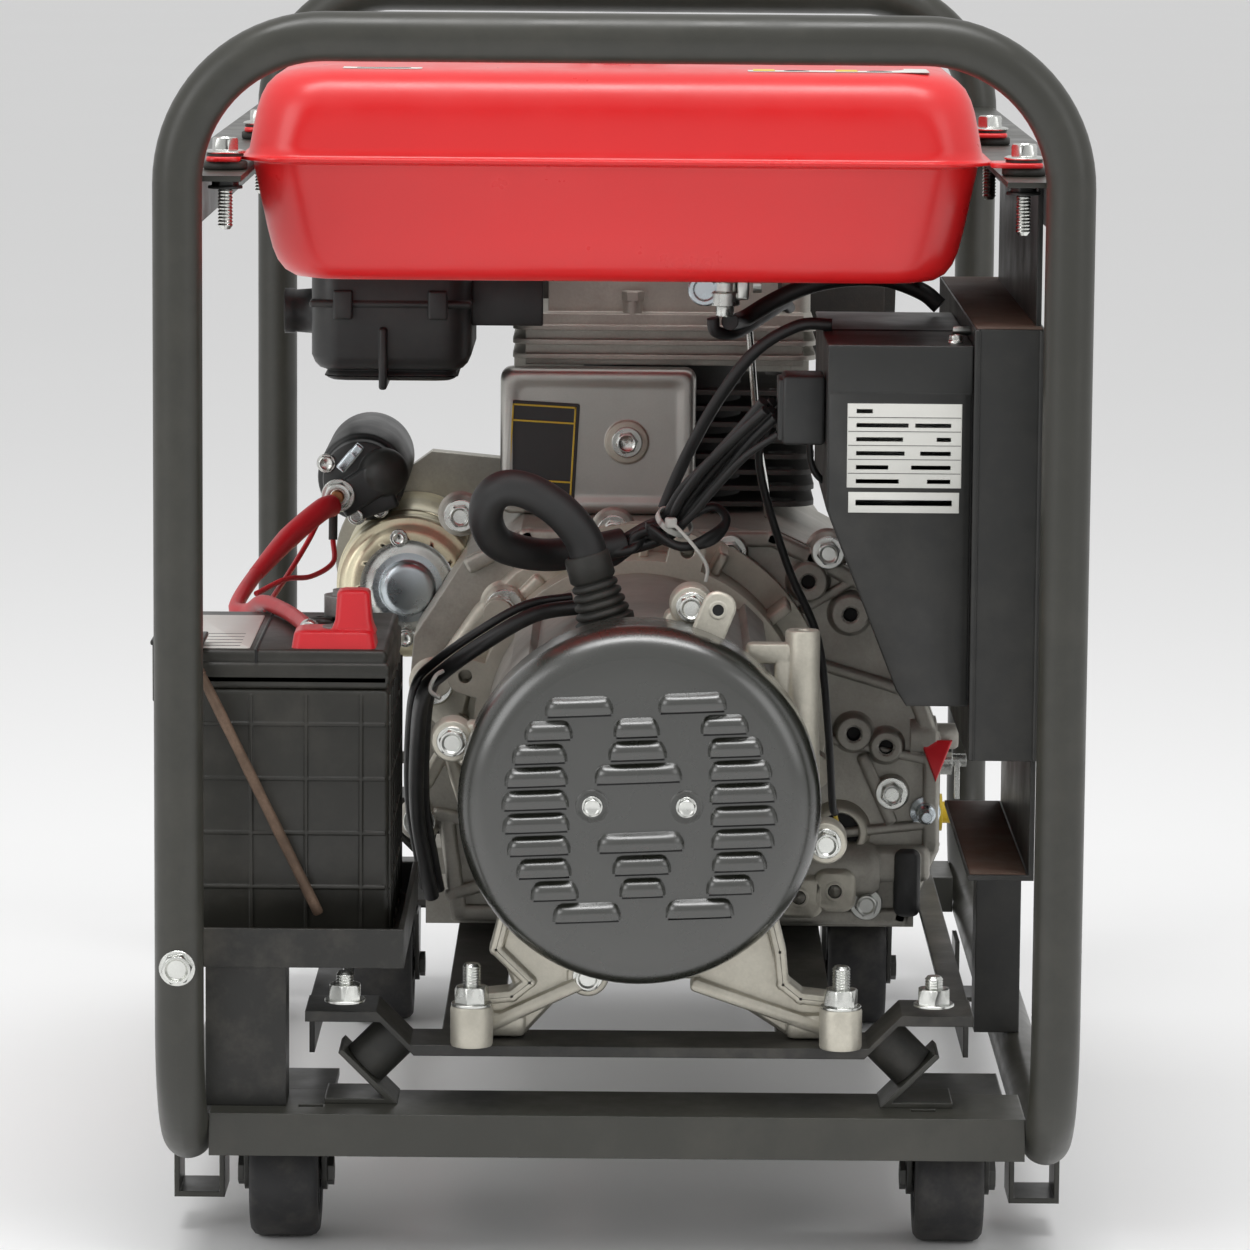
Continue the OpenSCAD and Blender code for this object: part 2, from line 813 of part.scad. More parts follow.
// Blower housing over the flywheel, with the recoil starter cover on its end
module fan_housing() {
  shell = 2.5;
  color("#2b2c2b")
    difference() {
      union() {
        on_shaft(fan_y) cylinder(r = fan_r, h = fan_l, $fn = 72);
        on_shaft(recoil_y - gap) cylinder(r = 104, h = 34);
        xz_plate(fan_y, 14)
          union() {
            translate([start_x, start_z]) circle(r = start_r + 8);
            polygon([[start_x - 20, start_z + 48], [start_x + 10, start_z + 70],
              [shaft_x, shaft_z + 120], [shaft_x - 60, shaft_z - 60],
              [start_x - 20, start_z - 48]]);
          }
        block([-72, fan_y + 2, shaft_z + 90], [120, fan_y + 48, head_z - 4]);
      }
      on_shaft(fan_y + shell) cylinder(r = fan_r - shell, h = fan_l - 2 * shell, $fn = 72);
      on_shaft(recoil_y - gap - 4) cylinder(r = 100, h = 34);
      on_shaft(fan_y - 1) cylinder(r = journal_r + 6, h = 5);
      block([-69, fan_y + 5, shaft_z + 60], [117, fan_y + 45, head_z - 3]);
      block([-60, fan_y + 1, 400], [108, fan_y + 10, head_z - 12]);
      for (i = [0 : 11])
        rotate_slot(i * 30) block([-4, recoil_y + 20, 45], [4, recoil_y + 60, 88]);
      xbar([shaft_x + 60, recoil_y + 12, shaft_z], 5, 60);
    }
}

// Turns something drawn above the shaft line about the shaft
module rotate_slot(a) {
  translate([shaft_x, 0, shaft_z])
    rotate([0, a, 0])
      children();
}

// T handle of the recoil starter at the mouth of its rope guide
module recoil_handle() {
  x0 = shaft_x + 104.5;
  y0 = recoil_y + 12;
  color("#1d1e1f")
    union() {
      translate([x0 + 8, y0, shaft_z - 22]) cylinder(r = 7, h = 44);
      xbar([x0, y0, shaft_z], 6, 10);
    }
}

// Starter motor: yoke, end plate, centre cap and drive nose
module starter_motor() {
  plate_y = start_y - 4;
  at = [start_x, plate_y, start_z];
  color("#b3b08f")
    union() {
      ybar(at + [0, 4, 0], start_r, case_end - start_y - 0.5);
      ybar(at, 39, 4.5);
      ybar(at + [0, -5, 0], 19, 6);
      for (a = [100, 325, 245])
        ybar(at + [33 * cos(a), -4, 33 * sin(a)], 4.5, 5);
    }
}

// Starter solenoid with its black cap, studs and boot
module solenoid() {
  at = [sol_x, start_y + 10, sol_z];
  color("#1f2021")
    union() {
      ybar(at, sol_r, case_end - start_y - 10.5);
      ybar(at + [0, -14, 0], 24, 15);
      ybar(at + [-16, -34, -12], 6, 22);
      ybar(at + [10, -32, 6], 12, 20);
    }
}

// Air cleaner: ribbed plastic box, inlet snout and outlet elbow to the head
module air_filter() {
  color("#202122")
    union() {
      difference() {
        translate([-192, -40, 473])
          cube([98, 150, 66]);
        translate([-188, -36, 477])
          cube([90, 142, 58]);
      }
      block([-180, -30, 465], [-106, 100, 473]);
      block([-150, -44, 462], [-144, 60, 530]);
      difference() {
        xbar([-211, 20, 505], 14, 19.5);
        xbar([-212, 20, 505], 11, 26);
      }
      block([-94, 70, 490], [-70.5, 100, 520]);
      block([-94, -20, 500], [-50, -16, 530]);
      block([-94, -16, 526], [-80, 60, 530]);
    }
}

// Silencer across the far end with its inlet pipe and tail pipe
module muffler() {
  my = 275;
  mz = 512;
  inlet_y = 170 + gap;
  color("#4a4742")
    union() {
      difference() {
        union() {
          xbar([-60, my, mz], 58, 230);
          xbar([-68, my, mz], 40, 246);
        }
        xbar([-58, my, mz], 56, 226);
      }
      difference() {
        xbar([150, my, mz + 30], 13, 52);
        xbar([151, my, mz + 30], 10.5, 60);
      }
      ybar([30, inlet_y, mz - 20], 13, my - inlet_y - 50);
      block([0, inlet_y, mz - 36], [60, inlet_y + 7, mz - 4]);
    }
}

// Crankshaft: journals, two webs with counterweights and the crank pin
module crankshaft() {
  web_r = 62;
  web_t = 20;
  web_y = 72;
  color("#8e8f90")
    union() {
      on_shaft(couple_y + gap) cylinder(r = journal_r, h = web_y - couple_y);
      on_shaft(web_y) cylinder(r = web_r, h = web_t);
      on_shaft(web_y + web_t + 28) cylinder(r = web_r, h = web_t);
      translate([0, 0, 36]) on_shaft(web_y + 1) cylinder(r = 19, h = 2 * web_t + 26);
      on_shaft(web_y + 2 * web_t + 27)
        cylinder(r = journal_r, h = fan_y + 60 - web_y - 2 * web_t - 27);
    }
}

// Flywheel with its ring gear and blower blades
module flywheel() {
  at = fan_y + 12;
  color("#77777a")
    difference() {
      union() {
        on_shaft(at) cylinder(r = fly_r, h = 12, $fn = 72);
        on_shaft(at) cylinder(r = 112, h = 34, $fn = 72);
        for (i = [0 : 15])
          rotate_slot(i * 22.5) block([-2, at + 33, 60], [2, at + 68, 110]);
      }
      on_shaft(at - 1) cylinder(r = journal_r + 0.02, h = 80);
      on_shaft(at + 14) cylinder(r = 52, h = 80);
    }
}

// ---- alternator -------------------------------------------------------------------

// Wound rotor on its shaft, with the cooling fan at the engine end
module rotor() {
  color("#7d5a3a")
    union() {
      on_shaft(brk_y + 2) cylinder(r = rotor_shaft_r, h = couple_y - brk_y - 2);
      on_shaft(stator_y + 20) cylinder(r = rotor_r, h = stator_l - 50);
      on_shaft(stator_y + stator_l - 12) cylinder(r = 70, h = 20);
    }
}

// Laminated stator with the rotor bore through it
module stator() {
  color("#55534e")
    difference() {
      union() {
        on_shaft(stator_y) cylinder(r = stator_r, h = stator_l, $fn = 72);
        for (a = [45 : 90 : 315])
          rotate_slot(a) block([-8, stator_y, stator_r - 4], [8, stator_y + stator_l,
            stator_r + 5]);
      }
      on_shaft(stator_y - 1) cylinder(r = rotor_r + air_gap, h = stator_l + 2, $fn = 72);
      on_shaft(stator_y + stator_l - 18) cylinder(r = 76, h = 30, $fn = 72);
    }
}

// Bell casting between the stator and the crankcase
module adapter_bracket() {
  color("#b4b1a9")
    difference() {
      union() {
        on_shaft(adapt_y) cylinder(r = stator_r + 8, h = adapt_l, $fn = 72);
        on_shaft(adapt_y + adapt_l - 14) cylinder(r = 116, h = 14, $fn = 72);
        for (a = lug_angles)
          rotate_slot(a) {
            block([-11, adapt_y, stator_r - 4], [11, adapt_y + 22, lug_r]);
            ybar([0, adapt_y, lug_r], 11, 22);
          }
        for (p = [[-75, 332], [-112, 290]])
          ybar([p[0], adapt_y + 10, p[1]], 9, adapt_l - 10);
      }
      for (a = lug_angles)
        rotate_slot(a) ybar([0, adapt_y - 1, lug_r], tie_r + 0.1, 17);
      on_shaft(adapt_y - 1) cylinder(r = stator_r - 6, h = adapt_l - 9, $fn = 72);
      on_shaft(adapt_y - 1) cylinder(r = journal_r + 4, h = adapt_l + 2);
    }
}

// End casting: spider with the bearing seat, and an arch with two feet
module rear_bracket() {
  foot_r = 11.5;
  foot_low = cradle_z + cradle_t + gap;
  foot_y = iso_y;
  arch_y = brk_y;
  color("#b7b3a8")
    difference() {
      union() {
        on_shaft(brk_y) cylinder(r = stator_r + 5, h = brk_t, $fn = 72);
        xz_plate(arch_y, brk_t)
          polygon([[foot_left - 8, foot_low], [foot_left + 26, foot_low],
            [shaft_x - 30, shaft_z - stator_r - 16], [shaft_x + 30, shaft_z - stator_r - 16],
            [foot_right - 26, foot_low], [foot_right + 8, foot_low],
            [foot_right + 4, foot_low + 16], [foot_right - 22, foot_low + 22],
            [shaft_x + 66, shaft_z - 66], [shaft_x - 66, shaft_z - 66],
            [foot_left + 22, foot_low + 22], [foot_left - 4, foot_low + 16]]);
        for (x = [foot_left, foot_right])
          zbar([x, foot_y, foot_low], foot_r, 23);
        for (a = lug_angles)
          rotate_slot(a) {
            block([-12, brk_y + 5, stator_r - 8], [12, brk_y + brk_t, lug_r]);
            ybar([0, brk_y + 5, lug_r], 12, brk_t - 5);
          }
        rotate_slot(22) block([-8, brk_y + 12, 88], [8, brk_y + 18, lug_r + 13]);
        zbar([shaft_x + 91, brk_y + 12, shaft_z], 9.8, 92);
      }
      for (a = lug_angles)
        rotate_slot(a) {
          ybar([0, brk_y + 4, lug_r], tie_r + 0.1, brk_t);
          ybar([0, brk_y - 1, lug_r], 9, 6);
        }
      rotate_slot(22) ybar([0, brk_y + 10, lug_r + 5], 3, 10);
      zbar([shaft_x + 91, brk_y + 12, shaft_z + 70], 4, 23);
      on_shaft(brk_y - 1) cylinder(r = bearing_r, h = brk_t + 2);
      for (a = [0 : 60 : 300])
        rotate_slot(a) block([-17, brk_y - 1, 42], [17, brk_y + brk_t + 1, 76]);
      for (x = [foot_left, foot_right])
        zbar([x, foot_y, foot_low - 1], 5.2, 30);
    }
}

// Domed end cover with a rolled edge
module rear_cover() {
  color("#252626")
    difference() {
      on_shaft(cover_y)
        rotate_extrude($fn = 96)
          polygon([[0, 0], [cover_r - 22, 0], [cover_r - 9, 4], [cover_r - 2, 11],
            [cover_r, 16], [cover_r, cover_l - gap], [cover_r - 2, cover_l - gap],
            [cover_r - 2, 17], [cover_r - 4, 12], [cover_r - 10, 6], [cover_r - 22, 2],
            [0, 2]]);
      for (x = [-26, 26])
        ybar([shaft_x + x, cover_y - 1, shaft_z], 3.2, 5);
    }
}

// Ball bearing that carries the rotor shaft
module end_bearing() {
  color("#9da0a3")
    difference() {
      on_shaft(brk_y + 4) cylinder(r = bearing_r, h = 15);
      on_shaft(brk_y + 3) cylinder(r = rotor_shaft_r + run_gap, h = 17);
    }
}

// Governor lever on the right of the crankcase
module speed_lever() {
  pivot = [197.3, -20, 232];
  color("#7e8081")
    union() {
      xbar(pivot, 9, 8);
      xbar(pivot + [8, 0, 0], 4, 9);
      block(pivot + [10, -4, -24], pivot + [13, 4, 0]);
    }
}

// Oil dipstick screwed into the side of the crankcase
module dipstick() {
  at = [197.3, 120, 175];
  color("#d8b21c")
    union() {
      xbar(at, 12, 10);
      xbar(at + [10, 0, 0], 7, 8);
    }
}

// ---- control panel ----------------------------------------------------------------

// Side casing with its lower shelf and the post that holds it up
module control_panel() {
  wall = 2.5;
  far = panel_y + panel_l;
  top = panel_z + panel_h;
  color("#2c2e2f") {
    difference() {
      block([panel_x, panel_y, panel_z], [face_x, far, top]);
      block([panel_x + wall, panel_y + wall, panel_z + wall],
        [face_x - wall, far - wall, top - wall]);
      xbar([face_x - 5, panel_y + 66, 480], 5.5, 10);
    }
    block([face_x - 3, panel_y + 16, shelf_z + sheet], [face_x, far - 110, panel_z]);
    block([panel_x + 2, panel_y + 16, shelf_z], [face_x, far - 110, shelf_z + sheet]);
    block([panel_x + 20, panel_y + 232, rail_under + tube_d], [face_x + 8, panel_y + 262,
      shelf_z]);
    block([face_x - 4, panel_y + 20, top], [face_x - 1, far - 20, rail_plate_z - 0.02]);
  }
}

// Sheet metal box on the inner side of the casing, cut back towards the engine below
module control_box() {
  wall = 2;
  cut_z = 428;
  color("#232526")
    difference() {
      xz_plate(box_y, box_l)
        polygon([[box_x, box_top], [box_x, cut_z], [box_x + box_cut, box_z + 9],
          [box_x + box_cut + 6, box_z], [panel_x - gap, box_z], [panel_x - gap, box_top]]);
      xz_plate(box_y + wall, box_l - 2 * wall)
        polygon([[box_x + wall, box_top - wall], [box_x + wall, cut_z],
          [box_x + box_cut + 2, box_z + 9], [box_x + box_cut + 7, box_z + wall],
          [panel_x - wall, box_z + wall], [panel_x - wall, box_top - wall]]);
    }
}

// Ribbed boot of the alternator lead, and the grommet block on the control box
module rubber_boots() {
  top = shaft_z + stator_r - 2;
  color("#1c1d1e")
    union() {
      translate([-9, -312, top])
        rotate([0, -14, 0])
          union() {
            cylinder(r = 17, h = 3);
            for (i = [0 : 3])
              translate([0, 0, 4 + i * 6]) cylinder(r = 15.5 - i, h = 4);
            cylinder(r = 12, h = 36);
          }
      block([box_x - 24.3, -330, 463], [box_x - gap, -296, 500]);
    }
}

// Lead sleeve and harness cables between the alternator and the control box
sleeve_points = [[-18.2, -312, 393.4], [-21.8, -312, 407.8], [-38, -315, 424], [-62, -318, 431],
  [-78, -314, 424], [-80, -300, 408], [-66, -282, 396], [-40, -266, 390], [-14, -252, 391]];
loom_points = [[82.5, -314, 478], [63, -290, 452], [44, -272, 430], [24, -254, 410],
  [8, -248, 400]];
loom_pack = [[0, 0], [5.8, 0], [-5.8, 0], [2.9, 5.2], [-2.9, 5.2]];
loom_side = [0.75, 0.66, 0];
loom_up = [-0.38, 0.43, 0.8];
box_cable = [[119, -270, 523.8], [100, -268, 523], [76, -262, 508], [56, -246, 480],
  [42, -234, 454], [32, -226, 432]];
sensor_wire = [[83.5, -311, 474], [78, -280, 444], [96, -220, 380], [116, -180, 330],
  [124, -150, 270], [128, -120, 222], [130, -112, 214]];
module harness() {
  color("#151617") {
    cord(sleeve_points, 8.5, 4, 10);
    for (o = loom_pack)
      cord([for (p = loom_points) p + o[0] * loom_side + o[1] * loom_up], 2.6, 3);
    cord(box_cable, 3.5, 3);
    cord(sensor_wire, 2.2, 3);
  }
}

// Battery and alternator leads: two earth leads, a thin lead and the one to the starter
earth_points = [[-24, -250, 357.5], [-50, -260, 354], [-78, -260, 338], [-103, -245, 318],
  [-116, -200, 298], [-122, -140, 260], [-124, -90, 210], [-119, -68, 170],
  [-116, -56, 150]];
plus_points = [[-178, -300.4, 349.6], [-184, -270, 350], [-196, -224, 350], [-212, -180, 349],
  [-222, -150, 340], [-232, -120, 338], [-224, -60, 350], [-206, -20, 368],
  [-188, 2, 382], [-180.5, 14, 385.5]];
minus_points = [[-161, -198, 352], [-161, -184, 351], [-158, -166, 330], [-152, -136, 290],
  [-146, -100, 252], [-142, -56, 236], [-136.5, -14, 230]];
thin_step = [-4.6, 4.6, 4.6];
module battery_cables() {
  color("#c21e27") {
    cord(earth_points, 4.5);
    cord([for (p = earth_points) p + thin_step], 2.5);
    cord(plus_points, 4.5);
    cord(minus_points, 4);
  }
}

socket_z = 400;
sockets_y = [panel_y + 254, panel_y + 324];
lid_t = 4;
hinge_up = 5;
socket_r = 26;

// Mains sockets with their lid hinges, meter and weld sockets on the panel face
module sockets() {
  deep = 12;
  color("#2a3f6b")
    union() {
      for (y = sockets_y) {
        difference() {
          xbar([face_x + 0.05, y, socket_z], socket_r + 2, deep);
          xbar([face_x + 3, y, socket_z], socket_r - 4, deep);
        }
        xbar([face_x + 0.05, y, socket_z], 8, 7);
        for (s = [-1, 1])
          block([face_x + 0.05, y + s * 15 - 4, socket_z + socket_r - 2],
            [face_x + deep + 3, y + s * 15 + 4, socket_z + socket_r + hinge_up + 4]);
      }
      for (y = [panel_y + 50, panel_y + 120])
        difference() {
          xbar([face_x + 0.05, y, 345], 17, 13);
          xbar([face_x + 3, y, 345], 7.5, 13);
        }
      block([face_x + 0.05, panel_y + 262, 454], [face_x + 6, panel_y + 318, 510]);
    }
}

// Sprung socket lid, hinged along its top edge
module socket_lid(i) {
  y = sockets_y[i];
  x = face_x + 12 + gap;
  hinge_z = socket_z + socket_r + hinge_up;
  color("#1f3f7a")
    union() {
      difference() {
        xbar([x, y, socket_z], socket_r + 1, lid_t);
        block([x - 1, y - 40, hinge_z - 8], [x + 9, y - 10.5, hinge_z + 8]);
        block([x - 1, y + 10.5, hinge_z - 8], [x + 9, y + 40, hinge_z + 8]);
      }
      block([x, y - 10, hinge_z - 8], [x + lid_t, y + 10, hinge_z + 2]);
    }
}

module socket_lid_left() { socket_lid(0); }
module socket_lid_right() { socket_lid(1); }

// Breaker block on the panel face
module breakers() {
  y = panel_y + 196;
  color("#d9d9d4")
    difference() {
      block([face_x + 0.05, y - 22, 448], [face_x + 9, y + 22, 512]);
      block([face_x + 2, y - 8, 470], [face_x + 10, y + 8, 492]);
    }
}

// Tilting toggle of the breaker
module breaker_toggle() {
  y = panel_y + 196;
  color("#17181a")
    union() {
      ybar([face_x + 5.5, y - 7.7, 481], 2.2, 15.4);
      block([face_x + 5, y - 6, 477], [face_x + 15, y + 6, 481]);
    }
}

// Welding current knob
module current_knob() {
  y = panel_y + 66;
  color("#1a1b1d")
    union() {
      xbar([face_x + 0.4, y, 480], 19, 4);
      xbar([face_x + 4, y, 480], 15, 13);
      block([face_x + 16, y - 1.5, 480], [face_x + 18, y + 1.5, 494]);
      xbar([face_x - 2.6, y, 480], 5.45, 4);
    }
}

// Start key in its switch
module start_key() {
  y = panel_y + 132;
  color("#b9babb")
    union() {
      xbar([face_x + 0.4, y, 480], 8, 4);
      block([face_x + 4, y - 1.2, 472], [face_x + 17, y + 1.2, 488]);
    }
}

// ---- fasteners ----------------------------------------------------------------------

// A bolt down through the tank tab and its rail, with washer, rubber pad and nut
module tank_bolt(p) {
  translate(p) {
    hex([0, 0, 7.3], 13, 6);
    zbar([0, 0, 5.3], 10, 2);
    zbar([0, 0, 2.2], 9, 3);
    zbar([0, 0, -28], 4, 35.5);
    hex([0, 0, -18], 13, 5);
  }
}

// Long bolt that holds the two end castings against the stator
module tie_bolt() {
  low = brk_y + 5 - gap;
  ybar([0, low - 1, lug_r], tie_r, adapt_y + 14 - low);
  ybar([0, low - 1.5, lug_r], tie_r + 4, 1.5);
  translate([0, low - 7, lug_r])
    rotate([-90, 0, 0])
      cylinder(r = 6.5 / cos(30), h = 6, $fn = 6);
}

// A stud with washer and nut, standing on p
module stud_nut(p, r, h) {
  af = 3.4 * r;
  difference() {
    union() {
      zbar(p, r * 2, 1.6);
      hex(p + [0, 0, 1.6], af, r * 1.6);
    }
    zbar(p - [0, 0, 1], r, h);
  }
  zbar(p - [0, 0, 6], r - 0.02, h + 6);
}

module fasteners() {
  foot_top = cradle_z + cradle_t + gap + 23;
  end_top = cradle_z + cradle_drop + cradle_t;
  plate = brk_y;
  color("#cfd1d0") {
    for (s = [-1, 1], y = tank_bolts_y)
      tank_bolt([s * tank_bolt_x, y, seam_z]);
    for (x = [foot_left, foot_right])
      stud_nut([x, iso_y, foot_top + 0.02], 5, 26);
    for (s = [-1, 1])
      stud_nut([cradle_x + s * 165, iso_y, end_top + 6.1], 5, 16);
    for (x = [-26, 26])
      ybar([shaft_x + x, cover_y - 5, shaft_z], 6.5, 4.8);
    ybar([-leg_x, -hoop_y - tube_r - 5, tray_z + 12], 9.5, 4.6);
    for (a = lug_angles)
      rotate_slot(a) tie_bolt();
  }
}

near_hoop();
far_hoop();
bottom_rails();
crossbars();
tank_rails();
skid_feet();
caster_mounts();
wheel_near_left();
wheel_near_right();
swivel_fork_left();
swivel_fork_right();
wheel_far_left();
wheel_far_right();
engine_cradle();
isolator_brackets();
rubber_isolators();
battery_tray();
battery_case();
battery_lid();
battery_terminals();
terminal_boot();
battery_clamp();
fuel_tank();
fuel_cap();
fuel_tap();
tap_lever();
fuel_hose();
crankcase();
cylinder_barrel();
cylinder_head();
air_baffle();
fan_housing();
recoil_handle();
starter_motor();
solenoid();
air_filter();
muffler();
crankshaft();
flywheel();
rotor();
adapter_bracket();
stator();
rear_bracket();
rear_cover();
end_bearing();
speed_lever();
dipstick();
control_panel();
control_box();
rubber_boots();
harness();
battery_cables();
sockets();
socket_lid_left();
socket_lid_right();
breakers();
current_knob();
start_key();
breaker_toggle();
fasteners();
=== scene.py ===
"""Looks of the engine driven welder: detailed pieces, materials, light and camera.

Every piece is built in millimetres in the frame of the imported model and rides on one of
its bodies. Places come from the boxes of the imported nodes.
"""
from math import atan2, copysign, cos, degrees, pi, radians, sin, sqrt

import bmesh
import bpy
from mathutils import Matrix, Vector


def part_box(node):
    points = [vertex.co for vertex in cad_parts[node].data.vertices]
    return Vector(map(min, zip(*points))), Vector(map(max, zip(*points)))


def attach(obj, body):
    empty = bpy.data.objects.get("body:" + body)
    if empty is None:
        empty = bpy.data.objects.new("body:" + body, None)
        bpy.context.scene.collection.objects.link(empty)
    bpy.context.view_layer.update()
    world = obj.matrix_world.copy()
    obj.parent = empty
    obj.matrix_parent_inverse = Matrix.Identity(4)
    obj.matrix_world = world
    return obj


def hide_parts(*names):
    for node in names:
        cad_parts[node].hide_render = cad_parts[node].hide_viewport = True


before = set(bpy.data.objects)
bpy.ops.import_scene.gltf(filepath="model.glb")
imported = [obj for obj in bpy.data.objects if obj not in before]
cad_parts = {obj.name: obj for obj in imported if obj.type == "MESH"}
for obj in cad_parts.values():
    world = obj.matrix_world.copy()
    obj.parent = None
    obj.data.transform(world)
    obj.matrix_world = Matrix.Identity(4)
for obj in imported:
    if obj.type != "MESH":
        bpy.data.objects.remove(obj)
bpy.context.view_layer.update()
MM = 0.001
SHAFT_X, SHAFT_Z = 11, 267
FOOT_Y = -380.5
SEAM_UP = 68


def span(node):
    """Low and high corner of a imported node, in millimetres."""
    low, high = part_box(node)
    return Vector(low) / MM, Vector(high) / MM


# ---- camera ----


def add_camera():
    """A long lens in front of the alternator end, a little above the hoops."""
    low, high = span("near_hoop")
    cam = bpy.data.cameras.new("camera")
    cam.sensor_width = 36
    cam.lens = 165.1
    cam.clip_end = 50
    cam.shift_x = -0.0054
    eye = bpy.data.objects.new("camera", cam)
    place = Matrix.Translation((0.006, (low.y + 13.5 - 3098.5) * MM, (high.z + 99.3) * MM))
    tilt = Matrix.Rotation(radians(90 - 7.925), 4, "X")
    eye.matrix_world = place @ tilt @ Matrix.Rotation(radians(0.47), 4, "Z")
    bpy.context.collection.objects.link(eye)
    bpy.context.scene.camera = eye


add_camera()


# ---- materials ----


class Nodes:
    """Short names for building a material's node tree."""

    def __init__(self, name):
        self.mat = bpy.data.materials.new(name)
        self.mat.use_nodes = True
        self.tree = self.mat.node_tree
        self.shader = self.tree.nodes["Principled BSDF"]
        self.coord = self.add("TexCoord", {}, "Object")

    def fill(self, node, inputs):
        """Sets or links a node's inputs."""
        for key, value in inputs.items():
            if isinstance(value, bpy.types.NodeSocket):
                self.tree.links.new(value, node.inputs[key])
            else:
                node.inputs[key].default_value = value

    def add(self, kind, inputs, out, **settings):
        """Makes a node and gives one of its outputs."""
        node = self.tree.nodes.new("ShaderNode" + kind)
        for key, value in settings.items():
            setattr(node, key, value)
        self.fill(node, inputs)
        return node.outputs[out]

    def noise(self, scale, detail=3, rough=0.55):
        return self.add("TexNoise", {"Vector": self.coord, "Scale": scale, "Detail": detail,
            "Roughness": rough}, "Fac")

    def remap(self, value, a, b, c, d):
        return self.add("MapRange", {"Value": value, "From Min": a, "From Max": b, "To Min": c,
            "To Max": d}, "Result")

    def times(self, a, b):
        return self.add("Math", {0: a, 1: b}, 0, operation="MULTIPLY")

    def mix(self, factor, a, b):
        a, b = ((*v, 1) if isinstance(v, tuple) else v for v in (a, b))
        return self.add("Mix", {"Factor": factor, 6: a, 7: b}, 2, data_type="RGBA")

    def edges(self, radius):
        """1 near a sharp edge and 0 on a flat, with the rounded normal."""
        soft = self.add("Bevel", {"Radius": radius}, "Normal", samples=6)
        flat = self.add("NewGeometry", {}, "Normal")
        dot = self.add("VectorMath", {0: soft, 1: flat}, "Value", operation="DOT_PRODUCT")
        return self.remap(dot, 0.98, 0.75, 0, 1), soft


def shade(c, k):
    """A colour made darker or lighter."""
    return tuple(min(1.0, v * k) for v in c)


DUST = (0.16, 0.145, 0.12)


def surface(name, color, rough, metal, vary, patch, grain, bump, depth, wear=None, amount=0.6,
        rim=0.0012, dust=0, dust_color=DUST, coat=0, specular=0.5):
    """A material with colour drift, fine grain, worn edges and a film of dust."""
    n = Nodes(name)
    fine = n.noise(grain, 2, 0.6)
    tone = n.remap(n.noise(patch, 4), 0.3, 0.7, 0, 1)
    out = n.mix(tone, shade(color, 1 - vary), shade(color, 1 + vary))
    out = n.mix(n.remap(fine, 0.35, 0.75, 0, vary * 1.6), out, shade(color, 0.7))
    if dust:
        streak = n.times(n.noise(3.2, 6, 0.7), n.noise(38, 4, 0.7))
        out = n.mix(n.remap(streak, 0.22, 0.42, 0, dust), out, dust_color)
    edge, soft = n.edges(rim)
    if wear:
        ragged = n.remap(n.noise(160, 5, 0.75), 0.42, 0.62, 0, 1)
        out = n.mix(n.times(n.times(edge, ragged), amount), out, wear)
    n.fill(n.shader, {"Base Color": out, "Metallic": metal, "Coat Weight": coat,
        "Coat Roughness": 0.25, "Specular IOR Level": specular,
        "Normal": n.add("Bump", {"Strength": bump, "Distance": depth, "Height": fine,
        "Normal": soft}, "Normal"), "Roughness": n.remap(n.noise(22, 4, 0.65), 0.3, 0.7,
        rough - 0.08, rough + 0.08)})
    return n.mat


